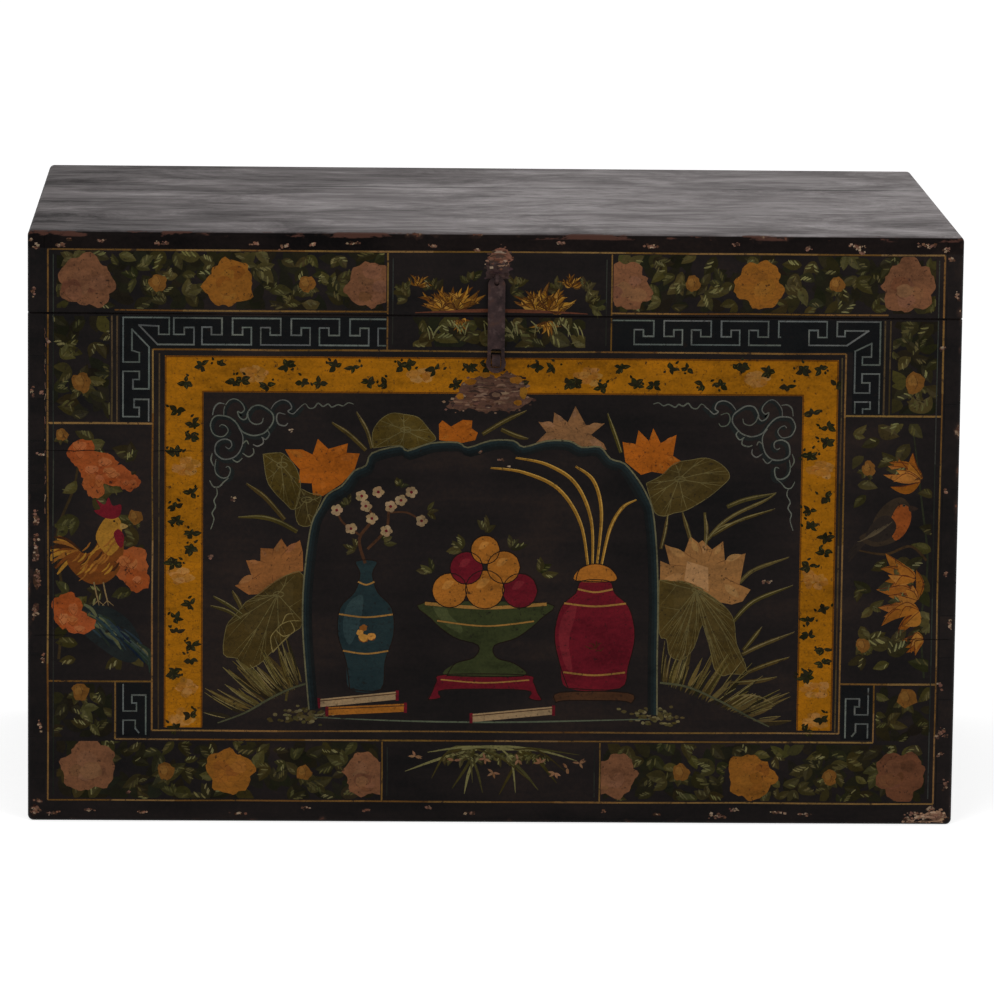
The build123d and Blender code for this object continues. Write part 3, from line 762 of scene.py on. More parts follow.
# middle frames above and below
inset = 5.0
for frameLeft, frameRight, frameBottom, frameTop in (
    (-104.6, 110.9, 464.8, 558.6), (-106.3, 105.6, 21.0, 80.0)):
    uprights((frameLeft, frameRight), frameBottom, frameTop, 1.5)
    uprights((frameLeft + inset, frameRight - inset), frameBottom + inset, frameTop - inset, 0.9, "pale")

# Key-fret bands on blue-black
fret = {"ground": (14, 15, 16), "line": (80, 84, 80), "width": 1.5}


def fretLine(points, limits=(-1000, 1000)):
    # straight runs, each a little long so that the corners close
    rng = random.Random(int(points[0][0] * 7))
    for start, end in zip(points, points[1:]):
        if (start[0] < limits[0] and end[0] < limits[0]) or (start[0] > limits[1] and end[0] > limits[1]):
            continue
        start, end = [(min(max(x, limits[0]), limits[1]), z) for x, z in (start, end)]
        length = math.dist(start, end)
        if length < 0.5:
            continue
        reach = fret["width"] * 0.45 / length
        addStroke("fretBands", [between(start, end, -reach), between(start, end, 1 + reach)],
                  fret["width"] * rng.uniform(0.85, 1.1), jitter(rng, fret["line"], 9), 0.2, (1, 1), 1)


def fretRow(start, pitch, count, levels, limits):
    # one unbroken line that hooks from the upper edge to the lower and back
    top, middle, low, bottom = levels
    points = [(start, low)]
    for k in range(count):
        x = start + k * pitch
        points += [(x, top), (x + 0.82 * pitch, top), (x + 0.82 * pitch, low), (x + 0.64 * pitch, low),
                   (x + 0.64 * pitch, middle), (x + 0.48 * pitch, middle), (x + 0.48 * pitch, bottom),
                   (x + 1.32 * pitch, bottom), (x + 1.32 * pitch, middle), (x + 1.17 * pitch, middle),
                   (x + 1.17 * pitch, low), (x + 1.0 * pitch, low)]
    points.append((start + count * pitch, top))
    fretLine(points, limits)


fretGrounds = (((-361.5, 465.2), (-106.0, 496.4)), ((112.3, 465.2), (373.4, 496.4)),
               ((-361.5, 393.0), (-331.6, 466.0)), ((344.6, 404.8), (373.4, 466.0)),
               ((-363.6, 84.0), (-331.6, 137.0)), ((339.8, 84.0), (370.0, 138.0)))
for low, high in fretGrounds:
    addPatch("fretBands", [low, (high[0], low[1]), high, (low[0], high[1])], fret["ground"], 0.08)
fretRow(-309.7, 56.4, 4, (494.2, 485.4, 478.2, 468.6), (-310, -106.3))
fretRow(106.5, 55.3, 3, (494.8, 486.0, 479.6, 471.6), (112.6, 274))
fretCorners = (
    [(-299.6, 478.2), (-309.7, 478.2)],
    [(-308.6, 478.2), (-299.6, 478.2), (-299.6, 485.0), (-290.3, 485.0), (-290.3, 468.4)],
    [(-290.3, 468.4), (-325.3, 468.4), (-343.1, 487.0), (-324.2, 486.2), (-324.2, 478.2), (-314.1, 478.2),
     (-314.1, 494.4), (-358.3, 494.4), (-358.3, 451.1), (-342.7, 451.1), (-342.7, 460.2), (-349.8, 462.4),
     (-349.8, 482.8), (-333.4, 465.8), (-333.4, 425.1), (-348.7, 425.1), (-348.7, 434.2), (-342.7, 434.2),
     (-342.7, 442.1), (-358.3, 442.1), (-358.3, 398.0), (-342.7, 398.0), (-342.7, 407.0), (-347.6, 407.0),
     (-347.6, 414.9), (-333.6, 414.9), (-333.6, 394.0)],
    [(272.4, 479.6), (272.4, 495.0), (319.0, 495.0), (319.0, 479.6), (310.4, 479.6), (310.4, 486.4),
     (301.7, 486.4), (301.7, 471.9), (338.5, 471.9), (359.2, 486.2), (336.4, 486.2), (336.4, 480.7),
     (328.8, 480.7), (328.8, 495.0), (370.6, 495.0), (370.6, 453.2), (353.7, 453.2), (353.7, 460.9),
     (362.4, 460.9), (362.4, 474.1), (346.6, 466.4), (346.6, 425.8), (361.3, 425.8), (361.3, 435.7),
     (353.7, 435.7), (353.7, 444.4), (370.6, 444.4), (370.6, 406.2)],
    [(347.2, 406.2), (347.2, 417.0), (362.0, 417.0), (362.0, 410.2), (354.8, 410.2), (354.8, 406.2)],
    [(-357.6, 135.3), (-357.6, 109.3), (-344.7, 109.3), (-344.7, 117.2), (-349.1, 117.2), (-349.1, 125.1),
     (-335.7, 125.1), (-335.7, 86.5)],
    [(-357.6, 86.5), (-357.6, 100.2), (-345.8, 100.2), (-345.8, 92.0), (-342.4, 88.0)])
for points in fretCorners:
    fretLine(points)
# the lower right square mirrors the left one
for points in fretCorners[-2:]:
    fretLine([(8.5 - x, z) for x, z in points])

# Ochre border: three sides, with ivy sprigs and faded blossoms
border = {"outer": (-318.0, 331.0, 457.6), "inner": (-281.0, 296.7, 422.4), "foot": 93.4,
          "ochre": (134, 84, 9), "edge": (88, 50, 8), "sprig": (28, 26, 12), "sprigLight": (66, 60, 26),
          "blossom": (132, 86, 30), "blossomLight": (142, 98, 46)}
outerLeft, outerRight, outerTop = border["outer"]
innerLeft, innerRight, innerTop = border["inner"]
foot = border["foot"]
addPatch("ochreBorder",
         [(outerLeft, foot), (outerLeft, outerTop), (outerRight, outerTop), (outerRight, foot),
          (innerRight, foot), (innerRight, innerTop), (innerLeft, innerTop), (innerLeft, foot)],
         border["ochre"], 0.10)
for path in ([(outerLeft + 0.8, foot), (outerLeft + 0.8, outerTop - 0.8), (outerRight - 0.8, outerTop - 0.8),
              (outerRight - 0.8, foot)],
             [(innerLeft - 0.8, foot), (innerLeft - 0.8, innerTop + 0.8), (innerRight + 0.8, innerTop + 0.8),
              (innerRight + 0.8, foot)]):
    for start, end in zip(path, path[1:]):
        addStroke("ochreBorder", [start, end], 1.3, border["edge"], 0.13, (1, 1), 1)


def ivySprig(x, z, seed):
    # a few broad dark leaves joined at one point, with paler flecks
    rng = random.Random(seed)
    lean = rng.uniform(0, math.tau)
    for k in range(rng.choice((3, 4, 5))):
        angle = lean + k * rng.uniform(0.9, 1.5)
        reach = rng.uniform(6.5, 10.5)
        tip = polar(x, z, angle, reach, 0.75)
        addPatch("ochreBorder", leafOutline((x, z), tip, rng.uniform(3.8, 5.8), rng.uniform(-1.0, 1.0), 5),
                 jitter(rng, border["sprig"], 5), 0.16)
        if rng.random() < 0.6:
            addStroke("ochreBorder", [between((x, z), tip, 0.4), between((x, z), tip, 0.85)], 1.0,
                      jitter(rng, border["sprigLight"], 8), 0.17, (0.5, 0.3), 1)
    for k in range(2):
        angle = rng.uniform(0, math.tau)
        cx, cz = x + math.cos(angle) * 8, z + math.sin(angle) * 6
        addPatch("ochreBorder",
                 leafOutline((cx, cz), (cx + rng.uniform(-5, 5), cz + rng.uniform(2, 4)), 2.6, 0, 4),
                 jitter(rng, border["sprig"], 8), 0.16)


def borderBlossom(x, z, seed):
    rng = random.Random(seed)
    for k in range(10):
        angle = k * math.tau / 10 + rng.uniform(-0.3, 0.3)
        reach = rng.uniform(2.5, 10.5)
        cx, cz = polar(x, z, angle, reach * 1.2, 0.7 / 1.2)
        addPatch("ochreBorder", raggedOutline(cx, cz, rng.uniform(3.5, 7.0), rng.uniform(2.6, 4.6), rng, 12),
                 jitter(rng, border["blossom"] if k % 2 else border["blossomLight"], 4), 0.125)
    for k in range(4):
        angle = rng.uniform(0, math.tau)
        addStroke("ochreBorder", [(x + 3 * math.cos(angle), z + 3 * math.sin(angle)),
                                  (x + 10 * math.cos(angle + 0.3), z + 7 * math.sin(angle + 0.3))], 0.8,
                  (120, 66, 26), 0.14, (0.5, 0.3), 1)


for k in range(20):
    x = outerLeft + 20 + k * 32.2
    z = (outerTop + innerTop) / 2 + (8.5 if k % 2 else -8.0)
    if k % 5 == 2:
        borderBlossom(x + 2, (outerTop + innerTop) / 2, 300 + k)
        ivySprig(x - 11, z + 2, 60 + k)
        ivySprig(x + 14, z - 3, 90 + k)
    else:
        ivySprig(x, z, 30 + k)
        ivySprig(x + 15, (outerTop + innerTop) / 2 - (7 if k % 2 else -8), 160 + k)
for middle in ((outerLeft + innerLeft) / 2, (outerRight + innerRight) / 2):
    for k in range(12):
        z = 405 - k * 27.2
        if k % 4 == 2:
            borderBlossom(middle + (3 if k % 8 == 2 else -4), z, 400 + k + int(middle))
            ivySprig(middle - 10, z + 13, 500 + k + int(middle))
        else:
            ivySprig(middle + (7 if k % 2 else -7), z, 600 + k + int(middle))
            ivySprig(middle + (-8 if k % 2 else 8), z - 13, 700 + k + int(middle))
borderBlossom((outerLeft + innerLeft) / 2, foot + 9, 801)
borderBlossom((outerRight + innerRight) / 2, foot + 9, 802)
print("borders painted")

# Flower bands on the lid and along the foot
lidBand = {"within": (-428.5, 429.5, 503.2, 558.4),
           "peonies": ((-394, 529, 27.5, dustyTones), (-257, 528, 24.5, ochreTones),
                       (253, 530, 24.5, ochreTones), (397, 530, 27.5, dustyTones)),
           "halves": ((-120, 527, 24.5, -428.5, -106.0), (125, 528, 24.5, 112.4, 429.5)),
           "buds": ((-325, 528, 8.5), (-182, 528, 8.0), (189, 531, 7.5), (328, 531, 7.5))}
lowBand = {"within": (-428.5, 429.5, 23.2, 79.4),
           "peonies": ((-391, 55, 27.5, dustyTones), (-254, 50, 23.5, ochreTones),
                       (253, 47, 24.0, ochreTones), (399, 49, 25.5, redTones)),
           "halves": ((-120, 47, 23.5, -428.5, -107.7), (119, 47, 23.5, 107.0, 429.5)),
           "buds": ((-316, 50, 8.5), (-182, 49, 7.5), (185, 51, 8.5), (330, 47, 7.5))}
for name, band, seed in (("lidFlowerBand", lidBand, 11), ("lowFlowerBand", lowBand, 57)):
    low, high = band["within"][2], band["within"][3]
    blooms = [(x, z, radius) for x, z, radius, tones in band["peonies"]]
    blooms += [(x, z, radius) for x, z, radius, leftLimit, rightLimit in band["halves"]]
    blooms += [(x, z, radius) for x, z, radius in band["buds"]]
    frameLeft, frameRight = (-106.0, 112.4) if name == "lidFlowerBand" else (-107.8, 107.2)
    for share, (leftEdge, rightEdge) in enumerate(((-422, frameLeft - 2), (frameRight + 2, 423))):
        foliage(name, (leftEdge, rightEdge, low, high), blooms, 14.5, 19, seed + share)
    for x, z, radius, tones in band["peonies"]:
        paintPeony(name, x, z, radius, tones, seed + int(x), band["within"])
    for x, z, radius, leftLimit, rightLimit in band["halves"]:
        paintPeony(name, x, z, radius, dustyTones, seed + int(x), (leftLimit, rightLimit, low, high))
    for x, z, radius in band["buds"]:
        paintBud(name, x, z, radius, budTones, seed + int(x), band["within"])

# Leaves with an orange bud in the upper corners and beside the lower fret squares
cornerPanels = ({"within": (-426, -371.5, 394, 495.5), "bud": (-398, 431, 9.5)},
                {"within": (383, 427, 405.5, 495.5), "bud": (405, 436, 10.0)},
                {"within": (-426, -368.5, 83.5, 136), "bud": (-399, 128, 8.5)},
                {"within": (374, 427, 83.5, 137), "bud": (404, 126, 9.5)})
for number, panel in enumerate(cornerPanels):
    foliage("cornerLeaves", panel["within"], [panel["bud"]], 14.0, 20, 70 + number, 0.9)
    paintBud("cornerLeaves", *panel["bud"], budTones, 77 + number, panel["within"])
print("flower bands painted")


# Middle frame above: two spreading chrysanthemums over leaves, on both sides of the hasp
def fingerFlower(sheet, x, z, size, tones, seed, spread=1.25, count=13, facing=math.pi / 2, within=None,
                 fat=0.13, layers=3):
    rng = random.Random(seed)
    shadow, body, light, line = tones
    for layer in range(layers):
        reach = (1.0, 0.74, 0.5)[layer]
        petals = max(3, count - layer * 3)
        for k in range(petals):
            share = (k + 0.5) / petals - 0.5
            angle = facing + share * 2 * spread + rng.uniform(-0.12, 0.12)
            length = size * reach * rng.uniform(0.72, 1.08) * (1 - 0.12 * abs(share))
            tip, base = polar(x, z, angle, length, 0.86), polar(x, z, angle, length * 0.1)
            tone = jitter(rng, rng.choice((shadow, body, light)) if layers == 3 else (body, light)[layer], 8)
            bend = rng.uniform(-0.16, 0.16) * size
            addPatch(sheet, leafOutline(base, tip, size * fat * rng.uniform(0.8, 1.2), bend, 7), tone,
                     0.15 + 0.03 * layer, within)
            middle = polar(*between(base, tip), angle - math.pi / 2, size * fat * 0.4 - bend * 0.9)
            addStroke(sheet, [base, middle, tip], 0.8, line, 0.165 + 0.03 * layer, (0.5, 0.3), 3, within)


yellowTones = ((88, 56, 18), (116, 78, 24), (138, 100, 38), (58, 34, 14))
within = (-100, 106, 467, 554)
rng = random.Random(5)
foliage("topFrameFlowers", (-80, 86, 468, 497), (), 13, 21, 205, 0.95)
for x in (-66, -52, -40, -28, -14, 12, 22, 36, 52, 66, 78):
    for k in range(2):
        start = (x + rng.uniform(-4, 4), 494 - rng.uniform(0, 8))
        lean = rng.uniform(-9, 9)
        addStroke("topFrameFlowers",
                  [start, (start[0] + lean * 0.6, start[1] - 5), (start[0] + lean, start[1] - 12)], 1.2,
                  jitter(rng, leafTones["pale"], 8), 0.2, (0.7, 0.3), 3, within)
for x, z, size, seed in ((-52, 504, 27, 31), (-38, 503, 33, 37), (38, 504, 27, 32), (50, 503, 33, 38)):
    fingerFlower("topFrameFlowers", x, z, size, yellowTones, seed, 1.35, 14, math.pi / 2, within)
fingerFlower("topFrameFlowers", -76, 526, 16, yellowTones, 33, 1.3, 9, 1.2, within)
fingerFlower("topFrameFlowers", 72, 526, 17, yellowTones, 34, 1.3, 10, 1.6, within)
fingerFlower("topFrameFlowers", 48, 494, 18, yellowTones, 36, 1.3, 9, -1.5, within)
fingerFlower("topFrameFlowers", -34, 495, 17, yellowTones, 39, 1.2, 8, -1.7, within)
for x, z, angle in ((-84, 514, 2.6), (-62, 522, 1.6), (86, 512, 0.4), (60, 522, 2.0), (20, 526, 1.3),
                    (-24, 530, 1.7), (92, 504, 0.2), (-88, 520, 2.2), (84, 522, 0.8), (14, 518, 0.6)):
    leafSpray("topFrameFlowers", x, max(z, 508), 4, 15, 250 + int(x), within, angle, 1.4)
addStroke("topFrameFlowers",
          [(-78, 500.9), (-40, 502.6), (-10, 503.4), (20, 503.2), (55, 502.4), (88, 500.8)], 3.4,
          (80, 46, 32), 0.22, (0.2, 0.2), 5, within)

# Middle frame below: a clump of orchid grass with small pale blossoms
orchid = {"within": (-102, 101, 25, 76), "root": (4, 75)}
rng = random.Random(8)
blades = ((-84, 51), (-58, 44), (-38, 34), (-26, 29), (-8, 30), (8, 28), (24, 30), (46, 33), (64, 40),
          (84, 62), (86, 68), (-44, 70), (-62, 70), (38, 42), (-18, 40), (56, 70), (72, 52))
for number, (x, z) in enumerate(blades):
    rootX = orchid["root"][0] + rng.uniform(-34, 36)
    middle = ((rootX + x) / 2 + rng.uniform(-6, 6), (orchid["root"][1] + z) / 2 + rng.uniform(2, 9))
    tint = leafTones["pale"] if number % 3 == 0 else jitter(rng, leafTones["light"], 8)
    addStroke("lowFrameOrchid", [(rootX, orchid["root"][1] - 2), middle, (x, z)], rng.uniform(1.6, 2.8), tint,
              0.15 + 0.003 * number, (0.8, 0.2), 6, orchid["within"])
for x in range(-42, 52, 7):
    leafSpray("lowFrameOrchid", x, 70, 3, 14, 610 + x, orchid["within"],
              -math.pi / 2 + rng.uniform(-0.8, 0.8), 1.6)
for x, z in ((-36, 62), (-6, 64), (26, 63), (48, 60), (2, 50), (62, 50), (74, 55), (86, 60), (-74, 66)):
    for k in range(4):
        angle = rng.uniform(0, math.tau)
        addPatch("lowFrameOrchid",
                 leafOutline((x, z), (x + 7 * math.cos(angle), z + 6 * math.sin(angle)), 2.4, 0, 5),
                 jitter(rng, (112, 80, 56), 8), 0.24, orchid["within"])
print("middle frames painted")

# Side panels
inLeft, inRight = (-427, -332, 141, 389), (340, 427.5, 142, 401)
orangeTones = ((104, 50, 22), (126, 63, 29), (138, 78, 42), (92, 42, 20))
rng = random.Random(21)
addStroke("leftPanelPainting", [(-420, 160), (-416, 220), (-422, 280), (-405, 330), (-398, 376)], 2.6,
          (46, 36, 20), 0.12, (1, 0.5), 8, inLeft)
foliage("leftPanelPainting", (-424, -338, 150, 384), ((-384, 262, 44), (-352, 200, 24)), 16, 21, 1000, 0.5)

# ruffled orange flowers, and a cock on a rock
sheet = "leftPanelPainting"
for x, z, wide, high, seed in ((-398, 362, 13, 15, 1), (-384, 350, 20, 14, 2), (-366, 340, 18, 11, 3),
                               (-352, 334, 10, 9, 4), (-386, 332, 11, 14, 5), (-350, 252, 18, 19, 6),
                               (-344, 238, 12, 12, 7), (-412, 208, 14, 20, 8), (-400, 196, 15, 12, 9)):
    rng = random.Random(seed)
    addPatch(sheet, raggedOutline(x, z, wide, high, rng), jitter(rng, orangeTones[1], 4),
             0.195 + seed * 0.002, inLeft)
    for k in range(3):
        cx, cz = x + rng.uniform(-0.5, 0.5) * wide, z + rng.uniform(-0.5, 0.5) * high
        addPatch(sheet, raggedOutline(cx, cz, wide * 0.36, high * 0.3, rng, 14),
                 jitter(rng, orangeTones[2 - k % 2], 6), 0.24, inLeft)
        addStroke(sheet, [(cx - wide * 0.3, cz), (cx, cz - high * 0.3), (cx + wide * 0.3, cz)], 0.7,
                  orangeTones[0], 0.25, (0.3, 0.3), 3, inLeft)
cock = {"body": (92, 50, 18), "feather": (118, 74, 28), "gold": (134, 94, 32), "dark": (52, 29, 15),
        "comb": (90, 20, 28), "leg": (112, 92, 60)}
rng = random.Random(24)
for k in range(15):
    angle = 2.3 + k * 0.11
    reach = rng.uniform(24, 34)
    start = (-402 + rng.uniform(-3, 3), 262 + rng.uniform(-5, 5))
    tip = polar(*start, angle, reach, 0.95)
    bent = ((start[0] + tip[0]) / 2, (start[1] + tip[1]) / 2 + 4)
    addStroke(sheet, [start, bent, tip], rng.uniform(2.6, 4.2),
              cock[("feather", "body", "gold", "dark")[k % 4]], 0.20 + 0.001 * k, (0.8, 0.4), 5, inLeft)
curvedShape(sheet,
            [(-412, 256), (-404, 266), (-392, 264), (-384, 272), (-378, 288), (-366, 290), (-358, 278),
             (-358, 262), (-363, 246), (-374, 236), (-388, 234), (-402, 242)], cock["body"], 0.22, inLeft)
curvedShape(sheet,
            [(-384, 278), (-380, 292), (-371, 302), (-362, 299), (-359, 288), (-362, 272), (-372, 262)],
            cock["gold"], 0.23, inLeft)
for k in range(46):
    x, z = rng.uniform(-406, -362), rng.uniform(240, 284)
    if (x + 384) ** 2 / 520 + (z - 256) ** 2 / 330 < 1 or (x > -382 and 256 < z < 290):
        tint = cock[rng.choice(("feather", "gold", "dark", "feather"))]
        addStroke(sheet, [(x + 3, z + 5), (x, z), (x - 5, z - 4)], rng.uniform(1.2, 2.4), tint, 0.25,
                  (0.5, 0.3), 3, inLeft)
curvedShape(sheet,
            [(-378, 300), (-386, 306), (-380, 308), (-384, 317), (-376, 312), (-372, 319), (-368, 311),
             (-360, 312), (-361, 302), (-368, 298)], cock["comb"], 0.26)
curvedShape(sheet, [(-360, 294), (-353, 291), (-360, 288)], (132, 104, 56), 0.26)
curvedShape(sheet, [(-362, 288), (-357, 281), (-359, 270), (-364, 274), (-367, 284)], cock["comb"], 0.27)
addPatch(sheet, blobOutline(-366.5, 296.0, 1.1, 1.1, 4, 0.05, random.Random(2), 3), (20, 14, 12), 0.29)
for x in (-386, -377):
    addStroke(sheet, [(x, 236), (x + 2, 226), (x + 4, 218)], 1.4, cock["leg"], 0.24, (1, 0.8), 2)
    for toe in (-5, 1, 6):
        addStroke(sheet, [(x + 4, 218), (x + 4 + toe, 213)], 1.0, cock["leg"], 0.24, (1, 0.5), 1)
rockTones = ((20, 30, 40), (30, 42, 46), (74, 76, 50), (30, 38, 30), (44, 54, 48), (18, 25, 32))
curvedShape(sheet,
            [(-402, 206), (-388, 214), (-368, 210), (-350, 196), (-340, 174), (-346, 158), (-362, 160),
             (-380, 172), (-396, 186)], (24, 28, 28), 0.15, inLeft)
for k in range(40):
    start = (-404 + k * 1.5 + rng.uniform(-5, 5), 212 - k * 0.9 + rng.uniform(-8, 6))
    reach = rng.uniform(12, 30)
    addStroke(sheet,
              [start, (start[0] + reach * 0.5, start[1] - reach * 0.45 + rng.uniform(-3, 3)),
               (start[0] + reach * 0.9, start[1] - reach * 0.95)], rng.uniform(1.6, 3.6),
              jitter(rng, rockTones[rng.randrange(6)], 5), 0.17 + 0.0005 * k, (0.5, 0.2), 4, inLeft)
paintBud(sheet, -346, 300, 7, budTones, 43, inLeft)
paintBud(sheet, -417, 380, 6, budTones, 44, inLeft)

# a small bird among finger-petalled flowers
sheet = "rightPanelPainting"
foliage(sheet, (346, 424, 152, 396), ((378, 298, 34),), 17, 22, 1500, 0.62)
addStroke(sheet, [(420, 146), (416, 200), (421, 260), (414, 320), (404, 392)], 2.0, (34, 36, 24), 0.12,
          (1, 0.5), 8, inRight)
addStroke(sheet, [(352, 272), (380, 268), (404, 276), (420, 262)], 2.4, (52, 38, 22), 0.13, (0.5, 1), 6,
          inRight)
goldenTones = ((92, 46, 20), (120, 72, 24), (134, 86, 32), (74, 34, 16))
for x, z, size, facing, seed in ((416, 340, 40, 2.6, 51), (412, 244, 44, 3.0, 53), (416, 214, 42, 3.5, 54),
                                 (414, 222, 36, 2.4, 55), (420, 186, 26, 3.8, 56)):
    fingerFlower(sheet, x, z, size, goldenTones, seed, 0.75, 6, facing, inRight, 0.24, 2)
rng = random.Random(22)
bird = {"back": (44, 35, 26), "wing": (34, 28, 24), "breast": (118, 60, 24), "pale": (70, 60, 44)}
curvedShape(sheet,
            [(354, 284), (364, 292), (370, 306), (380, 318), (392, 324), (400, 320), (404, 310), (402, 296),
             (394, 284), (380, 277), (366, 276)], bird["back"], 0.22, inRight)
curvedShape(sheet, [(384, 300), (392, 316), (402, 314), (404, 302), (398, 288), (388, 282)], bird["breast"],
            0.24, inRight)
curvedShape(sheet, [(360, 286), (370, 302), (382, 306), (390, 296), (384, 284), (370, 280)], bird["wing"],
            0.25, inRight)
for k in range(5):
    addStroke(sheet, [(386 - k * 4, 300 - k * 2), (374 - k * 4, 290 - k * 2), (364 - k * 3, 284 - k)], 0.9,
              bird["pale"], 0.27, (0.5, 0.3), 3, inRight)
curvedShape(sheet, [(402, 316), (411, 313), (403, 310)], (40, 30, 24), 0.25, inRight)
addPatch(sheet, blobOutline(397, 316, 1.5, 1.5, 4, 0.05, rng, 3), bird["pale"], 0.28)
addPatch(sheet, blobOutline(397, 316, 0.8, 0.8, 4, 0.05, rng, 3), (14, 11, 10), 0.30)
for reach in (0, 4, 8):
    addStroke(sheet, [(362, 282), (350, 276 - reach), (344, 268 - reach)], 2.2, bird["wing"], 0.21, (1, 0.5),
              3, inRight)
paintBud(sheet, 362, 352, 7, budTones, 57, inRight)
paintBud(sheet, 360, 178, 7, budTones, 58, inRight)
print("side panels painted")

# Central panel
inPanel = (-279.5, 295.0, 94.0, 420.5)
cloud = {"line": (80, 82, 74), "body": (25, 28, 27), "width": 1.35}
# scrolls of the left corner, from the corner of the panel; the right corner mirrors them
scrolls = (
    [(7.3, -16.6), (9.1, -9.2), (13.3, -5.0), (18.7, -5.6)],
    [(18.1, -16.6), (18.7, -9.2), (23.0, -2.5), (29.0, -0.7), (35.0, -4.3), (38.1, -10.5), (35.0, -14.2),
     (31.4, -12.9), (33.2, -18.4), (37.5, -20.9), (40.5, -18.4), (41.1, -14.2), (45.9, -8.0), (53.2, -6.8),
     (60.4, -10.5), (65.3, -15.4), (65.9, -21.5), (62.8, -27.6), (56.8, -33.8), (48.3, -36.2), (41.1, -35.0),
     (35.0, -31.3), (30.2, -23.9), (24.2, -19.0), (18.1, -17.2), (10.9, -17.2), (6.6, -21.5), (5.4, -27.6),
     (7.9, -34.4), (13.3, -37.4), (18.7, -36.8), (22.4, -31.9), (20.5, -27.6), (16.3, -25.8), (13.9, -27.6)],
    [(41.1, -14.2), (42.9, -21.5), (48.3, -25.2), (54.4, -23.9), (56.2, -19.0)],
    [(63.4, -10.5), (67.7, -4.3), (74.9, -1.3), (81.0, -3.7), (83.4, -9.2), (79.8, -12.3), (84.6, -14.8),
     (89.4, -10.5), (93.1, -6.8)],
    [(93.1, -6.8), (96.7, -5.0), (100.3, -9.2), (105.1, -8.6), (108.8, -4.3), (113.6, -7.4), (118.4, -5.0),
     (122.1, -8.0), (128.1, -5.6), (132.9, -6.8), (137.8, -3.7), (143.2, -5.0)],
    [(77.3, -15.4), (70.7, -14.2), (68.9, -19.7), (71.3, -25.2), (77.3, -26.4), (79.8, -23.7)],
    [(60.4, -31.3), (62.2, -35.0), (58.6, -39.9), (54.4, -37.7)],
    [(55.6, -37.7), (56.2, -43.5), (50.8, -46.6), (46.5, -44.8)],
    [(19.9, -47.2), (23.0, -49.3), (26.0, -46.0), (24.2, -41.3), (18.1, -39.9), (11.5, -43.5), (9.7, -50.9),
     (12.1, -55.8), (18.1, -59.5), (26.6, -58.3), (32.6, -53.4), (36.3, -44.8), (36.3, -36.2), (32.6, -28.9)],
    [(36.3, -44.8), (39.9, -41.3), (42.3, -44.8)],
    [(46.5, -48.5), (47.1, -53.4), (42.3, -57.0), (36.3, -53.4)],
    [(26.6, -59.5), (31.4, -62.2), (36.3, -58.3)],
    [(7.3, -53.4), (6.0, -60.1), (8.5, -66.2)],
    [(10.9, -59.5), (9.7, -68.0), (11.5, -74.2), (16.9, -77.8), (22.4, -76.6), (24.8, -70.5), (23.0, -66.6),
     (20.3, -67.4)],
    [(4.8, -80.3), (8.5, -86.4), (13.9, -86.4), (18.1, -82.1), (23.0, -77.8)],
    [(11.5, -87.6), (12.1, -93.8), (9.1, -99.9), (10.6, -106.0), (7.3, -112.1), (9.1, -118.3), (6.0, -128.1)])
for (cornerX, cornerZ), side in (((-279.5, 416.6), 1), ((295.4, 419.0), -1)):
    rng = random.Random(14 + side)
    for points in scrolls:
        path = [(cornerX + side * x + rng.uniform(-0.5, 0.5) * (side < 0),
                 cornerZ + z + rng.uniform(-0.5, 0.5) * (side < 0)) for x, z in points]
        if len(points) > 6 and abs(points[0][0] - 93.1) > 1 and points[0][1] > -80:
            inside = [(x + side * 1.8, z - 1.8) for x, z in path]
            addStroke("cloudCorners", inside, 4.6, cloud["body"], 0.12, (0.5, 0.5), 3, inPanel)
        addStroke("cloudCorners", path, cloud["width"] * rng.uniform(0.85, 1.1),
                  jitter(rng, cloud["line"], 6), 0.2, (0.6, 0.6), 4, inPanel)


def paintLotus(sheet, outline, tones, seed):
    # a flat bloom with pointed petals, parted by a short line at each notch
    rng = random.Random(seed)
    body, light, line = tones
    addPatch(sheet, outline, body, 0.18)
    count = len(outline)
    middle = (sum(x for x, z in outline) / count, sum(z for x, z in outline) / count)
    for k, (x, z) in enumerate(outline):
        beside = [math.dist(outline[(k + offset) % count], middle) for offset in (-1, 1)]
        reach = math.dist((x, z), middle)
        if reach > max(beside):
            base, tip = between(middle, (x, z), 0.5), between(middle, (x, z), 0.9)
            addPatch(sheet, leafOutline(base, tip, reach * 0.16, rng.uniform(-1, 1), 6),
                     jitter(rng, light, 2), 0.21)
        elif reach < min(beside):
            inner = between(middle, (x, z), 0.55)
            addStroke(sheet, [(x, z), ((x + inner[0]) / 2 + rng.uniform(-1, 1), (z + inner[1]) / 2), inner],
                      0.8, line, 0.23, (1, 0.3), 3)


